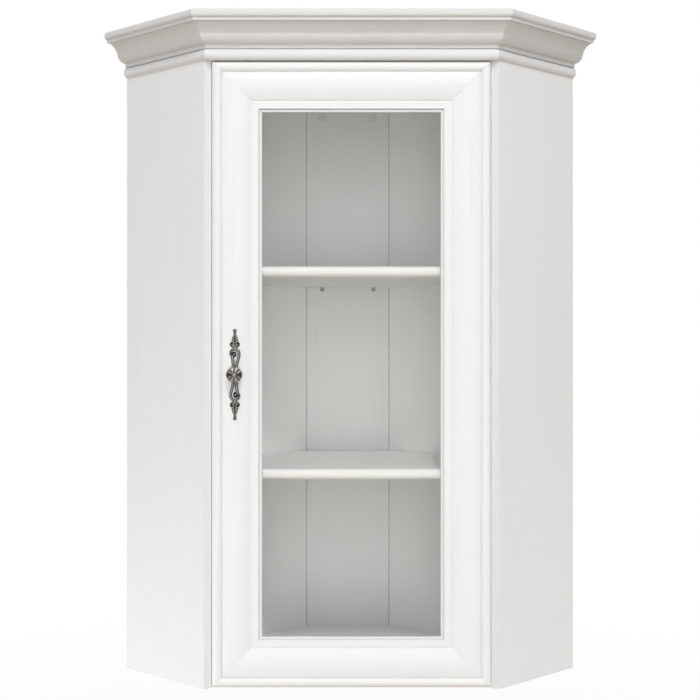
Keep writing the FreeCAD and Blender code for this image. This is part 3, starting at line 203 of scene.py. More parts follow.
class CabinetStudio(bpy.types.PropertyGroup):
    """Camera, lamps and floor."""

    camera_distance: length_setting(
        "Camera distance", "From the sides' front corners to the camera", 0.5, 10, 2.195)
    camera_side: length_setting(
        "Camera across", "Camera to the right of the cabinet's middle", -1, 1, -0.037)
    camera_height: length_setting("Camera height", "Camera above the cabinet's foot", 0, 3, 0.5625)
    lens: FloatProperty(
        name="Lens", description="Focal length in millimetres", unit="CAMERA", min=10, max=200, default=68.8)
    shift_x: FloatProperty(
        name="Shift across", description="Sideways lens shift", min=-0.1, max=0.1, default=0.0302)
    shift_y: FloatProperty(
        name="Shift up", description="Upward lens shift", min=-0.1, max=0.1, default=-0.005)
    ambient: FloatProperty(
        name="Ambient", description="Strength of the light from all round", min=0, max=5, default=0.53)
    key_power: power_setting("Key lamp", "Power of the lamp above the camera", 29)
    front_power: power_setting("Front lamp", "Power of the very large lamp behind the camera", 117)
    low_power: power_setting("Low lamp", "Power of the lamp below the camera", 13)
    left_power: power_setting("Left lamp", "Power of the low lamp near the left side", 2.4)
    right_power: power_setting("Right lamp", "Power of the low lamp near the right side", 1.0)
    back_power: power_setting("Back lamp", "Power of the lamp behind the cabinet", 55)
    floor_drop: length_setting("Floor drop", "Floor below the cabinet's foot", 0, 3, 0.4)


def finishes():
    """Finish values of the current scene."""
    return bpy.context.scene.cabinet_finishes


def toned(colour, share):
    """A colour made darker."""
    return tuple(part * share for part in colour)


# Nodes that the materials and the world are made of.


def add(tree, kind, **values):
    """Adds a node; values are its properties or, by name, its input sockets."""
    node = tree.nodes.new(kind)
    for key, value in values.items():
        if hasattr(node, key):
            setattr(node, key, value)
        else:
            node.inputs[key].default_value = value
    return node


def find_node(tree, kind):
    """The first node of a type in a tree."""
    return [node for node in tree.nodes if node.type == kind][0]


def colour_sockets(sockets):
    """The colour sockets among those of a mix node."""
    return [socket for socket in sockets if socket.type == "RGBA"]


def map_range(tree, value, low, high, to_low=0.0, to_high=1.0):
    """Stretches a value from one range to another, with soft ends."""
    node = add(tree, "ShaderNodeMapRange", interpolation_type="SMOOTHSTEP")
    for name, number in (("From Min", low), ("From Max", high), ("To Min", to_low), ("To Max", to_high)):
        node.inputs[name].default_value = number
    tree.links.new(value, node.inputs["Value"])
    return node.outputs["Result"]


def math_node(tree, operation, first, second=0.0):
    """Joins two values, either of which may be a plain number."""
    node = add(tree, "ShaderNodeMath", operation=operation)
    for socket, value in zip(node.inputs, (first, second)):
        if isinstance(value, (int, float)):
            socket.default_value = value
        else:
            tree.links.new(value, socket)
    return node.outputs[0]


def blend_colours(tree, factor, first, second):
    """Colour between two colours."""
    node = add(tree, "ShaderNodeMix", data_type="RGBA")
    for socket, colour in zip(colour_sockets(node.inputs), (first, second)):
        socket.default_value = (*colour, 1)
    tree.links.new(factor, node.inputs[0])
    return colour_sockets(node.outputs)[0]


def mix_shaders(tree, factor, first, second, output):
    """Sends a mix of two shaders to an output."""
    mixed = add(tree, "ShaderNodeMixShader")
    tree.links.new(factor, mixed.inputs[0])
    tree.links.new(first.outputs[0], mixed.inputs[1])
    tree.links.new(second.outputs[0], mixed.inputs[2])
    tree.links.new(mixed.outputs[0], output.inputs["Surface"])


def frame_axes(tree, place):
    """Parts of a coordinate: across the cabinet, into its depth and up it."""
    parts = add(tree, "ShaderNodeSeparateXYZ")
    tree.links.new(place, parts.inputs[0])
    return parts.outputs["X"], parts.outputs["Y"], parts.outputs["Z"]


def object_place(tree, turn=0.0, mirrored=False):
    """Coordinate of the cabinet's frame, mirrored for pairs of pieces, turned for those along a wall."""
    place = add(tree, "ShaderNodeTexCoord").outputs["Object"]
    if mirrored:
        across, inwards, upright = frame_axes(tree, place)
        joined = add(tree, "ShaderNodeCombineXYZ")
        tree.links.new(math_node(tree, "ABSOLUTE", across), joined.inputs["X"])
        tree.links.new(inwards, joined.inputs["Y"])
        tree.links.new(upright, joined.inputs["Z"])
        place = joined.outputs[0]
    if turn:
        turned = add(tree, "ShaderNodeVectorRotate", rotation_type="Z_AXIS", Angle=turn)
        tree.links.new(place, turned.inputs["Vector"])
        place = turned.outputs[0]
    return place


# Shared surface effects, each a node group built once.


def new_group(name, inputs, outputs):
    """Empty shader group with named sockets; returns it and its end nodes."""
    group = bpy.data.node_groups.new(name, "ShaderNodeTree")
    for label, kind, value in inputs:
        socket = group.interface.new_socket(name=label, in_out="INPUT", socket_type=kind)
        if value is not None:
            socket.default_value = value
    for label, kind in outputs:
        group.interface.new_socket(name=label, in_out="OUTPUT", socket_type=kind)
    return group, group.nodes.new("NodeGroupInput"), group.nodes.new("NodeGroupOutput")


def grain_group():
    """Long faint lines and soft clouding of a printed or planed board."""
    group = bpy.data.node_groups.get("Board grain")
    if group:
        return group
    group, start, end = new_group(
        "Board grain",
        [("Vector", "NodeSocketVector", None), ("Stretch", "NodeSocketVector", UPRIGHT_GRAIN),
         ("Clouding", "NodeSocketFloat", FOIL_CLOUDING)],
        [("Grain", "NodeSocketFloat"), ("Height", "NodeSocketFloat")])
    stretched = add(group, "ShaderNodeVectorMath", operation="MULTIPLY")
    group.links.new(start.outputs["Vector"], stretched.inputs[0])
    group.links.new(start.outputs["Stretch"], stretched.inputs[1])
    lines = add(group, "ShaderNodeTexNoise", Scale=1.0, Detail=5.0, Roughness=0.62)
    group.links.new(stretched.outputs[0], lines.inputs["Vector"])
    clouds = add(group, "ShaderNodeTexNoise", Scale=4.5, Detail=2.0)
    group.links.new(start.outputs["Vector"], clouds.inputs["Vector"])
    fine = map_range(group, lines.outputs["Fac"], *GRAIN_LINE_SPAN)
    cloudy = map_range(group, clouds.outputs["Fac"], *CLOUD_SPAN)
    soft = math_node(group, "MULTIPLY", cloudy, start.outputs["Clouding"])
    group.links.new(math_node(group, "MAXIMUM", fine, soft), end.inputs["Grain"])
    group.links.new(lines.outputs["Fac"], end.inputs["Height"])
    return group


def marks_group():
    """Fine marks and uneven polish of plated metal, plastic and glass."""
    group = bpy.data.node_groups.get("Fine marks")
    if group:
        return group
    group, start, end = new_group(
        "Fine marks",
        [("Vector", "NodeSocketVector", None), ("Scale", "NodeSocketFloat", 900.0),
         ("Low", "NodeSocketFloat", 0.2), ("High", "NodeSocketFloat", 0.4)],
        [("Roughness", "NodeSocketFloat"), ("Tone", "NodeSocketFloat"), ("Height", "NodeSocketFloat")])
    marks = add(group, "ShaderNodeTexNoise", Detail=6.0, Roughness=0.7)
    group.links.new(start.outputs["Vector"], marks.inputs["Vector"])
    group.links.new(start.outputs["Scale"], marks.inputs["Scale"])
    span = math_node(group, "SUBTRACT", start.outputs["High"], start.outputs["Low"])
    rise = math_node(group, "MULTIPLY", marks.outputs["Fac"], span)
    group.links.new(math_node(group, "ADD", rise, start.outputs["Low"]), end.inputs["Roughness"])
    group.links.new(map_range(group, marks.outputs["Fac"], *MARK_SPAN), end.inputs["Tone"])
    group.links.new(marks.outputs["Fac"], end.inputs["Height"])
    return group


def patina_group():
    """Dark hollows and rubbed high places of a casting, from how hollow each place is."""
    group = bpy.data.node_groups.get("Casting patina")
    if group:
        return group
    group, start, end = new_group(
        "Casting patina",
        [("Vector", "NodeSocketVector", None), ("Hollow", "NodeSocketFloat", 0.0)],
        [("Rubbed", "NodeSocketFloat"), ("Roughness", "NodeSocketFloat"), ("Height", "NodeSocketFloat")])
    blotches = add(group, "ShaderNodeTexNoise", Scale=420.0, Detail=5.0, Roughness=0.65)
    group.links.new(start.outputs["Vector"], blotches.inputs["Vector"])
    from_even = math_node(group, "SUBTRACT", blotches.outputs["Fac"], NOISE_MEAN)
    shift = math_node(group, "MULTIPLY", from_even, PATINA_BLOTCHES)
    hollow = math_node(group, "ADD", start.outputs["Hollow"], shift)
    rubbed = map_range(group, hollow, *PATINA_SPAN, 1.0, 0.0)
    group.links.new(rubbed, end.inputs["Rubbed"])
    group.links.new(map_range(group, rubbed, 0.0, 1.0, *PATINA_ROUGHNESS), end.inputs["Roughness"])
    group.links.new(blotches.outputs["Fac"], end.inputs["Height"])
    return group


# The finishes.


def new_material(name):
    """Material with only a shader and an output; returns it, its tree and its shader."""
    material = bpy.data.materials.new(name)
    material.use_nodes = True
    tree = material.node_tree
    tree.nodes.clear()
    shader = add(tree, "ShaderNodeBsdfPrincipled")
    output = add(tree, "ShaderNodeOutputMaterial")
    tree.links.new(shader.outputs[0], output.inputs["Surface"])
    return material, tree, shader


def place_group(tree, group, vector, **values):
    """Puts a shared effect into a material, fed with a coordinate."""
    node = add(tree, "ShaderNodeGroup", node_tree=group)
    tree.links.new(vector, node.inputs["Vector"])
    for key, value in values.items():
        node.inputs[key].default_value = value
    return node


def relief(tree, shader, height, strength, depth, edge=0.0):
    """Bump on a shader, over softened edges where edge is a radius."""
    bump = add(tree, "ShaderNodeBump", Strength=strength, Distance=depth)
    tree.links.new(height, bump.inputs["Height"])
    if edge:
        soft = add(tree, "ShaderNodeBevel", samples=EDGE_SAMPLES, Radius=edge)
        tree.links.new(soft.outputs[0], bump.inputs["Normal"])
    tree.links.new(bump.outputs[0], shader.inputs["Normal"])


def board_finish(name, colour, grain, roughness, stretch, turn=0.0, clouding=FOIL_CLOUDING, edge=FOIL_EDGE,
                 mirrored=False):
    """Foil, paint or bare wood on a board, with its grain along one way."""
    material = bpy.data.materials.get(name)
    if material:
        return material
    material, tree, shader = new_material(name)
    place = object_place(tree, turn, mirrored)
    node = place_group(tree, grain_group(), place, Stretch=stretch, Clouding=clouding)
    blend = blend_colours(tree, node.outputs["Grain"], colour, grain)
    tree.links.new(blend, shader.inputs["Base Color"])
    uneven = map_range(tree, node.outputs["Grain"], 0.0, 1.0, roughness, roughness + GRAIN_ROUGHER)
    tree.links.new(uneven, shader.inputs["Roughness"])
    relief(tree, shader, node.outputs["Height"], *BOARD_RELIEF, edge)
    return material


def foil(way, kind="foil"):
    """One of the white foils, with its grain upright, across, or along one of the walls."""
    values = finishes()
    colour = tuple(getattr(values, kind))
    grain = toned(colour, values.foil_grain)
    return board_finish(f"white_{kind}_{way}", colour, grain, values.foil_roughness, *GRAIN_WAYS[way])


def softwood():
    """Bare planed softwood, with its grain along the two walls."""
    colour = tuple(finishes().softwood)
    return board_finish(
        "bare_softwood", colour, toned(colour, SOFTWOOD_GRAIN_TONE), SOFTWOOD_ROUGHNESS, SOFTWOOD_GRAIN,
        turn=EIGHTH_TURN, clouding=SOFTWOOD_CLOUDING, edge=SOFTWOOD_EDGE, mirrored=True)


def thin_board_paint():
    """White paint on the thin backs, clouded and without lines, its colour lightened as painted light."""
    return board_finish(
        "thin_board_paint", tuple(finishes().hardboard), PAINT_GRAIN_COLOUR, PAINT_ROUGHNESS, PAINT_GRAIN,
        clouding=PAINT_CLOUDING, edge=0)


def plated(name, colour, polish, metallic=1.0):
    """Plated metal, or a plain plastic where metallic is none."""
    material = bpy.data.materials.get(name)
    if material:
        return material
    material, tree, shader = new_material(name)
    low, high, scale = polish
    node = place_group(tree, marks_group(), object_place(tree), Scale=scale, Low=low, High=high)
    blend = blend_colours(tree, node.outputs["Tone"], toned(colour, MARK_TONE), colour)
    tree.links.new(blend, shader.inputs["Base Color"])
    tree.links.new(node.outputs["Roughness"], shader.inputs["Roughness"])
    shader.inputs["Metallic"].default_value = metallic
    relief(tree, shader, node.outputs["Height"], *PLATED_RELIEF, PLATED_EDGE)
    return material


def cast_brass():
    """Darkened brass casting whose raised parts are rubbed bright; each mesh says where it is hollow, and
    the knob's side petals where a painted reflection darkens them.
    """
    material = bpy.data.materials.get("cast_brass")
    if material:
        return material
    values = finishes()
    material, tree, shader = new_material("cast_brass")
    node = place_group(tree, patina_group(), object_place(tree))
    hollow = add(tree, "ShaderNodeAttribute", attribute_name=HOLLOW_AND_REFLECTION)
    tree.links.new(hollow.outputs["Fac"], node.inputs["Hollow"])
    blend = blend_colours(tree, node.outputs["Rubbed"], values.brass_recess, values.brass_raised)
    tree.links.new(blend, shader.inputs["Base Color"])
    tree.links.new(node.outputs["Roughness"], shader.inputs["Roughness"])
    shader.inputs["Metallic"].default_value = CAST_METALLIC
    relief(tree, shader, node.outputs["Height"], *CAST_RELIEF)
    return material


def float_glass():
    """Clear float glass that lets lamps shine through."""
    material, tree, shader = new_material("float_glass")
    tint = (*finishes().glass_tint, 1)
    shader.inputs["Base Color"].default_value = tint
    shader.inputs["Transmission Weight"].default_value = 1.0
    shader.inputs["IOR"].default_value = GLASS_REFRACTION
    low, high, scale = GLASS_POLISH
    node = place_group(tree, marks_group(), object_place(tree), Scale=scale, Low=low, High=high)
    tree.links.new(node.outputs["Roughness"], shader.inputs["Roughness"])
    clear = add(tree, "ShaderNodeBsdfTransparent", Color=tint)
    rays = add(tree, "ShaderNodeLightPath")
    through = math_node(tree, "MAXIMUM", rays.outputs["Is Shadow Ray"], rays.outputs["Is Diffuse Ray"])
    mix_shaders(tree, through, shader, clear, find_node(tree, "OUTPUT_MATERIAL"))
    return material


def shade_along(material, place, middle, near, far, soft, shade):
    """Darkens a finish between two distances from a middle line; in a narrow joint or groove this is painted
    shade.
    """
    tree = material.node_tree
    shader = find_node(tree, "BSDF_PRINCIPLED")
    plain = shader.inputs["Base Color"].links[0].from_socket
    from_middle = math_node(tree, "ABSOLUTE", math_node(tree, "SUBTRACT", place, middle))
    begun = map_range(tree, from_middle, near - soft, near)
    ended = map_range(tree, from_middle, far, far + soft, 1.0, 0.0)
    shaded = add(tree, "ShaderNodeMix", data_type="RGBA", blend_type="MULTIPLY")
    first, second = colour_sockets(shaded.inputs)
    tree.links.new(math_node(tree, "MULTIPLY", begun, ended), shaded.inputs[0])
    tree.links.new(plain, first)
    second.default_value = (*shade, 1)
    tree.links.new(colour_sockets(shaded.outputs)[0], shader.inputs["Base Color"])


def strip_finish():
    """Back board paint on the corner strip, with painted shade in the narrow joints beside the back panels.
    """
    values = finishes()
    colour = toned(values.hardboard, STRIP_TONE)
    grain = toned(colour, STRIP_GRAIN_TONE)
    material = board_finish("white_strip", colour, grain, values.foil_roughness, UPRIGHT_GRAIN)
    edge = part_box("corner_back_strip")[1].x
    tree = material.node_tree
    across, _, _ = frame_axes(tree, object_place(tree))
    shade_along(material, across, 0.0, edge - JOINT_WIDTH, edge, JOINT_SOFT, JOINT_PAINTED_SHADE)
    return material


def shelf_foil():
    """Inside foil of the shelves, lightened as painted light, and a little darker along their front and back
    edges.
    """
    material = foil("across", "foil_inside").copy()
    material.name = "white_foil_shelf"
    low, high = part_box("upper_shelf")
    tree = material.node_tree
    _, inwards, _ = frame_axes(tree, object_place(tree))
    middle = (low.y + high.y) / 2
    half = (high.y - low.y) / 2
    shade_along(material, inwards, middle, half - SHELF_BAND, half, SHELF_BAND, SHELF_BAND_TONE)
    return material


def door_foil(name, way, tone):
    """Foil of the door frame, with painted shade in the groove round the glass."""
    material = foil(way).copy()
    material.name = name
    tree = material.node_tree
    across, _, upright = frame_axes(tree, object_place(tree))
    if way == "upright":
        place = across
        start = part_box("door_stile_left")[1].x
        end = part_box("door_stile_right")[0].x
    else:
        place = upright
        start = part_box("door_rail_bottom")[1].z
        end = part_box("door_rail_top")[0].z
    sight = (end - start) / 2
    near = sight + GROOVE_NEAR
    far = sight + GROOVE_FAR
    shade_along(material, place, (start + end) / 2, near, far, GROOVE_SOFT, tone)
    return material


# The pieces.


def dress(material, *names):
    """Gives a finish to pieces of the frame."""
    for name in names:
        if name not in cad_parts:
            raise RuntimeError(f"the frame has no piece named {name}")
        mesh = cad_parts[name].data
        mesh.materials.clear()
        mesh.materials.append(material)


class CABINET_OT_boards(bpy.types.Operator):
    """Foil on the sides, bottom and shelves, and paint on the corner strip and the thin backs"""

    bl_idname = "cabinet.boards"
    bl_label = "Carcass boards"

    def execute(self, context):
        dress(foil("upright"), "side_panel_left", "side_panel_right")
        dress(strip_finish(), "corner_back_strip")
        dress(foil("across", "foil_inside"), "bottom_panel")
        dress(shelf_foil(), "upper_shelf", "lower_shelf")
        dress(thin_board_paint(), "back_panel_left", "back_panel_right")
        return {"FINISHED"}


class CABINET_OT_cornice(bpy.types.Operator):
    """Foil on the top board, crown moulding and cap, and bare wood on what carries the cap"""

    bl_idname = "cabinet.cornice"
    bl_label = "Cornice"

    def execute(self, context):
        # The top board, crown moulding and cap take the white foil darkened as painted shade.
        dress(foil("across", "foil_top"), "top_board")
        dress(foil("across", "foil_cornice"), "crown_front", "cornice_cap")
        dress(foil("right", "foil_cornice"), "crown_right")
        dress(foil("left", "foil_cornice"), "crown_left")
        dress(softwood(), "cornice_battens", "cornice_blocks")
        return {"FINISHED"}


class CABINET_OT_door(bpy.types.Operator):
    """Foil on the door's mouldings and glazing beads, the clear pane and the frame's dowels"""

    bl_idname = "cabinet.door"
    bl_label = "Door frame and glass"

    def execute(self, context):
        # Shaded copies of the foil, one for each kind of frame piece, each with its own painted shade in the
        # groove.
        stile = door_foil("white_stile_foil", "upright", STILE_GROOVE_PAINTED_SHADE)
        dress(stile, "door_stile_left", "door_stile_right")
        dress(door_foil("white_top_rail_foil", "across", TOP_GROOVE_PAINTED_SHADE), "door_rail_top")
        dress(door_foil("white_bottom_rail_foil", "across", BOTTOM_GROOVE_PAINTED_SHADE), "door_rail_bottom")
        dress(foil("upright"), "glazing_bead_left", "glazing_bead_right")
        dress(foil("across"), "glazing_bead_top", "glazing_bead_bottom")
        dress(float_glass(), "glass_pane")
        dress(softwood(), "frame_dowels")
        return {"FINISHED"}


class CABINET_OT_hinges(bpy.types.Operator):
    """Nickel on the concealed hinges, their pins and their screws"""

    bl_idname = "cabinet.hinges"
    bl_label = "Hinges"

    def execute(self, context):
        nickel = plated("nickel_plate", tuple(finishes().nickel), NICKEL_POLISH)
        for level in ("lower", "middle", "upper"):
            for part in ("cup", "arm", "link", "plate"):
                dress(nickel, f"hinge_{part}_{level}")
        dress(nickel, "arm_pins", "cup_pins", "cup_screws", "hinge_plate_screws", "hinge_arm_screws")
        return {"FINISHED"}


class CABINET_OT_fastenings(bpy.types.Operator):
    """Finishes of the pins, cams, caps, dowels, screws, hangers and door bumpers"""

    bl_idname = "cabinet.fastenings"
    bl_label = "Fastenings"

    def execute(self, context):
        values = finishes()
        die_cast = plated("die_cast_zinc", tuple(values.die_cast), DIE_CAST_POLISH)
        dress(die_cast, "shelf_pins", "cam_locks", "cam_bolts")
        zinc = plated("zinc_plate", tuple(values.zinc), ZINC_POLISH)
        dress(zinc, "bracket_screws", "back_panel_screws", "knob_screw")
        dress(zinc, "hanger_bracket_left", "hanger_bracket_right")
        dress(plated("cap_plastic", CAP_COLOUR, CAP_POLISH, PLASTIC), "cam_caps")
        dress(plated("clear_rubber", RUBBER_COLOUR, RUBBER_POLISH, PLASTIC), "door_bumpers")
        dress(softwood(), "dowels")
        return {"FINISHED"}


# One half of the handle's plate, in millimetres from its middle: x to the right, z up. The other half is
# turned round. Each wire is its path, its half width and how much of that it loses towards its end.
SCROLLS = [
    ([(0.6, 41.6), (4.2, 40.8), (6.9, 36.8), (7.0, 32.6), (6.0, 27.6), (4.6, 22.6), (3.0, 17.5),
      (2.4, 10.0)], 2.35, 0.0),
    ([(-0.6, 41.6), (-4.8, 40.6), (-7.4, 36.4), (-6.8, 31.8), (-3.2, 28.8), (0.8, 30.2), (1.8, 34.4),
      (-1.2, 37.4), (-4.2, 35.4), (-3.2, 32.6)], 2.15, 0.45),
    ([(-4.8, 31.8), (-3.6, 27.5), (-3.1, 22.5), (-2.7, 17.5), (-2.3, 10.0)], 2.5, 0.0),
    ([(0.0, 45.2), (4.0, 45.6), (7.4, 48.2), (6.4, 52.6), (3.4, 51.6), (4.2, 49.4)], 1.8, 0.4),
    ([(0.0, 45.2), (-4.0, 45.6), (-7.4, 48.2), (-6.4, 52.6), (-3.4, 51.6), (-4.2, 49.4)], 1.8, 0.4),
]
WIRE_ORDER = 4
WIRE_STEPS = 6
WIRE_ROUNDING = 4
# How hollow a wire or bead is on its crest, and how fast that grows down its sides.
CREST_HOLLOW = 0.15
SIDE_HOLLOW = 4.0
# Beads of the same half: x, z and radius.
BEADS = [(0.0, 71.8, 3.0), (0.0, 42.9, 3.4), (0.0, 47.4, 2.2), (-2.2, 33.6, 1.3), (0.0, 67.6, 2.2)]
BEAD_SEGMENTS = 20
BEAD_RINGS = 12
# Leaf at the end of the half: its reach and widths in millimetres, then shares of its length, width and
# depth.
LEAF_FOOT = 49.0
LEAF_TIP = 68.5
LEAF_HALF_WIDTH = 5.0
LEAF_TIP_HALF_WIDTH = 0.4
LEAF_WIDE_START = 0.2
LEAF_WIDE_PLACE = 0.8
LEAF_FULLNESS = 0.85
LEAF_VEINS = 5
LEAF_VEIN_SLANT = 1.2
LEAF_VEIN_DEPTH = 0.34
LEAF_GROOVE_WIDTH = 0.17
LEAF_GROOVE_DEPTH = 0.4
LEAF_EDGE_DEPTH = 0.3
LEAF_EDGE_HOLLOW = 1.6
LEAF_ROWS = 40
LEAF_COLUMNS = 16
# Round boss under the knob, in millimetres.
BOSS_RADIUS = 6.4
BOSS_SEGMENTS = 40


def back_of(name):
    """Middle of the back of a piece of the frame, and the piece's depth."""
    low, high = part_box(name)
    return Vector(((low.x + high.x) / 2, high.y, (low.z + high.z) / 2)), high.y - low.y


def wire_mesh(path, half_width, taper, depth):
    """Smooth tapered wire along a path in the plate's plane, pressed flat to the plate's depth."""
    radius = half_width * MILLIMETRE
    curve = bpy.data.curves.new("scroll_path", "CURVE")
    curve.dimensions = "3D"
    curve.bevel_depth = radius
    curve.bevel_resolution = WIRE_ROUNDING
    curve.resolution_u = WIRE_STEPS
    curve.use_fill_caps = True
    spline = curve.splines.new("NURBS")
    last = len(path) - 1
    spline.points.add(last)
    for index, (x, z) in enumerate(path):
        spline.points[index].co = (x * MILLIMETRE, 0, z * MILLIMETRE, 1)
        spline.points[index].radius = 1 - taper * index / last
    spline.order_u = WIRE_ORDER
    spline.use_endpoint_u = True
    holder = bpy.data.objects.new("scroll_path", curve)
    bpy.context.scene.collection.objects.link(holder)
    bpy.context.view_layer.update()
    evaluated = holder.evaluated_get(bpy.context.evaluated_depsgraph_get())
    mesh = bpy.data.meshes.new_from_object(evaluated)
    bpy.data.objects.remove(holder)
    bpy.data.curves.remove(curve)
    mesh.transform(Matrix.Translation((0, -depth, 0)) @ Matrix.Diagonal((1, depth / radius, 1, 1)))
    return mesh


def add_bead(shape, x, z, radius, depth):
    """Round bead in the plate's plane, as deep as the plate."""
    flat = Matrix.Diagonal((1, depth / (radius * MILLIMETRE), 1, 1))
    place = Matrix.Translation((x * MILLIMETRE, -depth, z * MILLIMETRE))
    bmesh.ops.create_uvsphere(
        shape, u_segments=BEAD_SEGMENTS, v_segments=BEAD_RINGS, radius=radius * MILLIMETRE,
        matrix=place @ flat)


def leaf_grid(shape, layer, thickness):
    """Rows of points of a lance leaf with a middle groove and slanting veins, marked hollow along them."""
    grid = []
    for row in range(LEAF_ROWS + 1):
        along = row / LEAF_ROWS
        z = LEAF_FOOT + (LEAF_TIP - LEAF_FOOT) * along
        swell = LEAF_WIDE_START + (1 - LEAF_WIDE_START) * along ** LEAF_WIDE_PLACE
        half = LEAF_HALF_WIDTH * math.sin(math.pi * swell) ** LEAF_FULLNESS + LEAF_TIP_HALF_WIDTH
        line = []
        for column in range(LEAF_COLUMNS + 1):
            across = 2 * column / LEAF_COLUMNS - 1
            crown = math.sqrt(max(1 - across * across, 0))
            wave = math.cos(FULL_TURN * (LEAF_VEINS * along - LEAF_VEIN_SLANT * abs(across)))
            vein = ((1 + wave) / 2) ** 2
            groove = math.exp(-(across / LEAF_GROOVE_WIDTH) ** 2)
            rise = LEAF_EDGE_DEPTH + (1 - LEAF_EDGE_DEPTH) * crown
            lift = thickness * (rise - LEAF_VEIN_DEPTH * vein * crown - LEAF_GROOVE_DEPTH * groove)
            vertex = shape.verts.new((across * half * MILLIMETRE, -lift, z * MILLIMETRE))
            vertex[layer] = max(vein, groove, 1 - LEAF_EDGE_HOLLOW * crown)
            line.append(vertex)
        grid.append(line)
    return grid


def add_leaf(shape, layer, thickness):
    """Closed leaf with its relief in front and a flat back."""
    front = leaf_grid(shape, layer, thickness)
    back = leaf_grid(shape, layer, 0.0)
    rows = range(LEAF_ROWS)
    columns = range(LEAF_COLUMNS)
    for row in rows:
        for column in columns:
            shape.faces.new((front[row][column], front[row][column + 1],
                             front[row + 1][column + 1], front[row + 1][column]))
            shape.faces.new((back[row][column], back[row + 1][column],
                             back[row + 1][column + 1], back[row][column + 1]))
    border = [(0, column) for column in columns]
    border += [(row, LEAF_COLUMNS) for row in rows]
    border += [(LEAF_ROWS, LEAF_COLUMNS - column) for column in columns]
    border += [(LEAF_ROWS - row, 0) for row in rows]
    for (row, column), (next_row, next_column) in zip(border, border[1:] + border[:1]):
        shape.faces.new((front[next_row][next_column], front[row][column],
                         back[row][column], back[next_row][next_column]))


def finish_piece(name, shape, material, body, node):
    """Turns a shape into a smooth piece that stands for a node and rides on a body."""
    bmesh.ops.recalc_face_normals(shape, faces=shape.faces)
    mesh = bpy.data.meshes.new(name)
    shape.to_mesh(mesh)
    shape.free()
    mesh.materials.append(material)
    mesh.polygons.foreach_set("use_smooth", [True] * len(mesh.polygons))
    piece = bpy.data.objects.new(name, mesh)
    bpy.context.scene.collection.objects.link(piece)
    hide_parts(node)
    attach(piece, body)


class CABINET_OT_backplate(bpy.types.Operator):
    """Cast scroll plate behind the knob"""

    bl_idname = "cabinet.backplate"
    bl_label = "Handle plate"

    def execute(self, context):
        middle, thickness = back_of("handle_backplate")
        half = thickness / 2
        shape = bmesh.new()
        for path, half_width, taper in SCROLLS:
            wire = wire_mesh(path, half_width, taper, half)
            shape.from_mesh(wire)
            bpy.data.meshes.remove(wire)
        for x, z, radius in BEADS:
            add_bead(shape, x, z, radius, half)
        layer = shape.verts.layers.float.new(HOLLOW_AND_REFLECTION)
        for vertex in shape.verts:
            vertex[layer] = CREST_HOLLOW + (1 + vertex.co.y / thickness) * SIDE_HOLLOW
        add_leaf(shape, layer, thickness)
        upper = bpy.data.meshes.new("upper_half")
        shape.to_mesh(upper)
        upper.transform(Matrix.Rotation(HALF_TURN, 4, "Y"))
        shape.from_mesh(upper)
        bpy.data.meshes.remove(upper)
        boss = Matrix.Translation((0, -half, 0)) @ Matrix.Rotation(QUARTER_TURN, 4, "X")
        boss_radius = BOSS_RADIUS * MILLIMETRE
        bmesh.ops.create_cone(shape, cap_ends=True, segments=BOSS_SEGMENTS, radius1=boss_radius,
                              radius2=boss_radius, depth=thickness, matrix=boss)
        bmesh.ops.translate(shape, vec=middle, verts=shape.verts)
        finish_piece(
            "handle_scroll_plate", shape, cast_brass(), "door", "handle_backplate")
        return {"FINISHED"}


# Knob section in millimetres: distance from the axis, distance out from the plate.
KNOB_STEM = [
    (4.6, 0.0), (4.6, 0.8), (3.9, 1.6), (3.7, 4.0), (3.9, 6.6), (5.0, 8.2), (6.2, 9.0), (6.4, 9.6),
    (6.0, 10.2), (8.2, 11.2), (10.8, 12.6), (12.4, 13.9), (13.0, 15.2),
]
KNOB_FACE = [
    (12.95, 16.0), (12.6, 16.8), (12.0, 17.4), (11.2, 17.9), (10.2, 18.35), (9.0, 18.8), (7.8, 19.2),
    (6.6, 19.55), (5.4, 19.85), (4.4, 20.0), (3.4, 20.1), (2.9, 19.9),
]
KNOB_BUTTON = [(2.5, 19.6), (2.2, 20.3), (1.6, 20.75), (0.8, 20.95)]
KNOB_SEGMENTS = 160
PETAL_GROOVE_HALF_WIDTH = 0.85
# How dark the knob's parts are. The side petals are made darker as a painted reflection, standing in for the
# darker surroundings they mirror.
STEM_HOLLOW = 0.75
BUTTON_HOLLOW = 0.1
PETAL_HOLLOW = 0.22
SIDE_PETAL_PAINTED_REFLECTION = 0.62


def petal_relief(values, radius, angle):
    """How far the knob's face dips at a place, and how hollow it is there, with the side petals' painted
    reflection.
    """
    petal_turn = FULL_TURN / values.petals
    off = (angle + petal_turn / 2) % petal_turn - petal_turn / 2
    groove = math.exp(-(off * radius / PETAL_GROOVE_HALF_WIDTH) ** 2)
    round_off = (1 - 2 * abs(off) / petal_turn) ** 2 * radius / KNOB_FACE[0][0]
    dip = values.petal_groove * groove + values.petal_round * round_off
    return dip, max(groove, PETAL_HOLLOW, SIDE_PETAL_PAINTED_REFLECTION * math.cos(angle) ** 4)


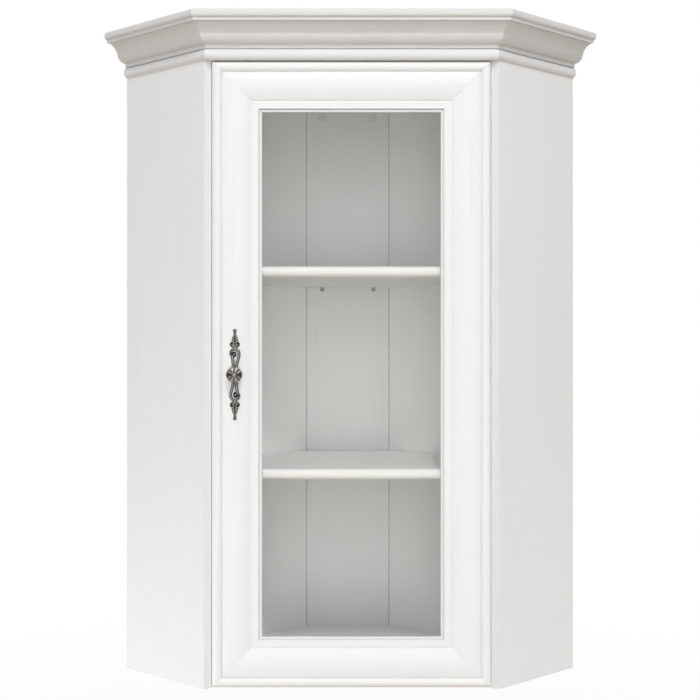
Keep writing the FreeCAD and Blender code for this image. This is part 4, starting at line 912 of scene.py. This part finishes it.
class CABINET_OT_knob(bpy.types.Operator):
    """Mushroom knob with a rosette of petals on its face"""

    bl_idname = "cabinet.knob"
    bl_label = "Knob"

    def execute(self, context):
        values = context.scene.cabinet_handle
        middle, _ = back_of("handle_knob")
        shape = bmesh.new()
        layer = shape.verts.layers.float.new(HOLLOW_AND_REFLECTION)
        rings = []
        for radius, out in KNOB_STEM + KNOB_FACE + KNOB_BUTTON:
            ring = []
            for step in range(KNOB_SEGMENTS):
                angle = FULL_TURN * step / KNOB_SEGMENTS
                dip = 0.0
                hollow = STEM_HOLLOW if (radius, out) in KNOB_STEM else BUTTON_HOLLOW
                if (radius, out) in KNOB_FACE:
                    dip, hollow = petal_relief(values, radius, angle)
                side = radius * MILLIMETRE * math.cos(angle)
                up = radius * MILLIMETRE * math.sin(angle)
                vertex = shape.verts.new((side, -out * MILLIMETRE + dip, up))
                vertex[layer] = hollow
                ring.append(vertex)
            rings.append(ring)
        for inner, outer in zip(rings, rings[1:]):
            for step in range(KNOB_SEGMENTS):
                after = (step + 1) % KNOB_SEGMENTS
                shape.faces.new((inner[step], inner[after], outer[after], outer[step]))
        shape.faces.new(rings[0])
        shape.faces.new(rings[-1])
        bmesh.ops.translate(shape, vec=middle, verts=shape.verts)
        finish_piece(
            "handle_rosette_knob", shape, cast_brass(), "door", "handle_knob")
        return {"FINISHED"}


# The studio. Each lamp is its place across, in front of the sides' front corners and up, and its size, all
# in metres.
LAMPS = {
    "key": (0.15, 2.4, 2.8, 0.4),
    "front": (0.0, 7.0, 1.3, 4.6),
    "low": (0.0, 2.7, 0.1, 0.9),
    "left": (-0.85, 0.25, -0.28, 0.5),
    "right": (0.85, 0.25, -0.28, 0.5),
    "back": (0.0, -3.6, 1.7, 2.0),
}
# The key lamp alone is plain white and mirrored in gloss and glass.
MIRRORED_LAMP = "key"
AIM_HEIGHT = 0.55
COOL_LIGHT = (0.962, 0.986, 1.0)
WHITE = (1, 1, 1, 1)
# Floor: the colour of the light that it throws back, and how white it looks near the cabinet and far off.
FLOOR_HALF_WIDTH = 14
FLOOR_COLOUR = (0.34, 0.24, 0.16, 1)
FLOOR_ROUGHNESS = 0.8
FLOOR_NEAR = 0.5
FLOOR_FAR = 3.0
FLOOR_NEAR_WHITE = 0.94
SENSOR_WIDTH = 36.0


def white_to_eye(tree):
    """One for rays that reach the eye, directly, through glass or mirrored."""
    rays = add(tree, "ShaderNodeLightPath").outputs
    seen = math_node(tree, "MAXIMUM", rays["Is Camera Ray"], rays["Is Transmission Ray"])
    return math_node(tree, "MAXIMUM", seen, rays["Is Glossy Ray"])


def make_room(scene, ambient):
    """World that gives an even light and looks white."""
    world = bpy.data.worlds.new("pale_room")
    world.use_nodes = True
    scene.world = world
    tree = world.node_tree
    tree.nodes.clear()
    even = add(tree, "ShaderNodeBackground", Color=(*COOL_LIGHT, 1), Strength=ambient)
    white = add(tree, "ShaderNodeBackground", Color=WHITE, Strength=1.0)
    mix_shaders(tree, white_to_eye(tree), even, white, add(tree, "ShaderNodeOutputWorld"))


def make_floor(scene, drop):
    """Floor that looks white, but for the soft shade near the cabinet."""
    mesh = bpy.data.meshes.new("floor")
    shape = bmesh.new()
    bmesh.ops.create_grid(shape, x_segments=1, y_segments=1, size=FLOOR_HALF_WIDTH)
    bmesh.ops.translate(shape, vec=(0, 0, -drop), verts=shape.verts)
    shape.to_mesh(mesh)
    shape.free()
    floor = bpy.data.objects.new("floor", mesh)
    scene.collection.objects.link(floor)
    material, tree, shader = new_material("pale_floor")
    shader.inputs["Base Color"].default_value = FLOOR_COLOUR
    shader.inputs["Roughness"].default_value = FLOOR_ROUGHNESS
    glow = add(tree, "ShaderNodeEmission", Color=WHITE, Strength=1.0)
    distance = add(tree, "ShaderNodeVectorMath", operation="LENGTH")
    tree.links.new(object_place(tree), distance.inputs[0])
    whiteness = map_range(tree, distance.outputs["Value"], FLOOR_NEAR, FLOOR_FAR, FLOOR_NEAR_WHITE, 1.0)
    seen = math_node(tree, "MULTIPLY", white_to_eye(tree), whiteness)
    mix_shaders(tree, seen, shader, glow, find_node(tree, "OUTPUT_MATERIAL"))
    mesh.materials.append(material)


def make_lamp(scene, name, place, aim, size, power):
    """Soft round lamp turned to a point."""
    data = bpy.data.lights.new(f"{name}_lamp", "AREA")
    data.shape = "DISK"
    data.size = size
    data.energy = power
    lamp = bpy.data.objects.new(f"{name}_lamp", data)
    lamp.location = place
    lamp.rotation_euler = (Vector(aim) - Vector(place)).to_track_quat("-Z", "Y").to_euler()
    scene.collection.objects.link(lamp)
    if name != MIRRORED_LAMP:
        data.color = COOL_LIGHT
        lamp.visible_camera = False
        lamp.visible_glossy = False
        lamp.visible_transmission = False


def make_camera(scene, values, front):
    """Level camera in front of the door, with a shifted lens."""
    data = bpy.data.cameras.new("camera")
    data.sensor_width = SENSOR_WIDTH
    data.lens = values.lens
    data.shift_x = values.shift_x
    data.shift_y = values.shift_y
    camera = bpy.data.objects.new("camera", data)
    camera.location = (values.camera_side, front - values.camera_distance, values.camera_height)
    camera.rotation_euler = (QUARTER_TURN, 0, 0)
    scene.collection.objects.link(camera)
    scene.camera = camera


class CABINET_OT_studio(bpy.types.Operator):
    """White room and floor, soft lamps all round and the camera"""

    bl_idname = "cabinet.studio"
    bl_label = "Studio"

    def execute(self, context):
        scene = context.scene
        values = scene.cabinet_studio
        scene.view_settings.view_transform = "Standard"
        make_room(scene, values.ambient)
        make_floor(scene, values.floor_drop)
        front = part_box("side_panel_left")[0].y
        aim = (0, front, AIM_HEIGHT)
        for name, (across, ahead, up, size) in LAMPS.items():
            power = getattr(values, f"{name}_power")
            make_lamp(scene, name, (across, front - ahead, up), aim, size, power)
        make_camera(scene, values, front)
        return {"FINISHED"}


PIECES = (
    CABINET_OT_boards, CABINET_OT_cornice, CABINET_OT_door, CABINET_OT_hinges, CABINET_OT_fastenings,
    CABINET_OT_backplate, CABINET_OT_knob, CABINET_OT_studio,
)


class CABINET_PT_pieces(bpy.types.Panel):
    """Lists the cabinet's settings and pieces"""

    bl_label = "Corner wall cabinet"
    bl_space_type = "VIEW_3D"
    bl_region_type = "UI"
    bl_category = "Cabinet"

    def draw(self, context):
        scene = context.scene
        for group in (scene.cabinet_finishes, scene.cabinet_handle, scene.cabinet_studio):
            column = self.layout.column(align=True)
            for name in group.__annotations__:
                column.prop(group, name)
        column = self.layout.column(align=True)
        for piece in PIECES:
            column.operator(piece.bl_idname)


CLASSES = (CabinetFinishes, CabinetHandle, CabinetStudio) + PIECES + (CABINET_PT_pieces,)


def register():
    """Adds the classes and the scene's settings."""
    for item in CLASSES:
        bpy.utils.register_class(item)
    bpy.types.Scene.cabinet_finishes = PointerProperty(type=CabinetFinishes)
    bpy.types.Scene.cabinet_handle = PointerProperty(type=CabinetHandle)
    bpy.types.Scene.cabinet_studio = PointerProperty(type=CabinetStudio)


def unregister():
    """Takes them away again."""
    del bpy.types.Scene.cabinet_studio
    del bpy.types.Scene.cabinet_handle
    del bpy.types.Scene.cabinet_finishes
    for item in reversed(CLASSES):
        bpy.utils.unregister_class(item)


def main():
    """Dresses the frame."""
    register()
    for piece in PIECES:
        group, name = piece.bl_idname.split(".")
        getattr(getattr(bpy.ops, group), name)()
    bpy.context.view_layer.update()


if __name__ == "__main__":
    main()
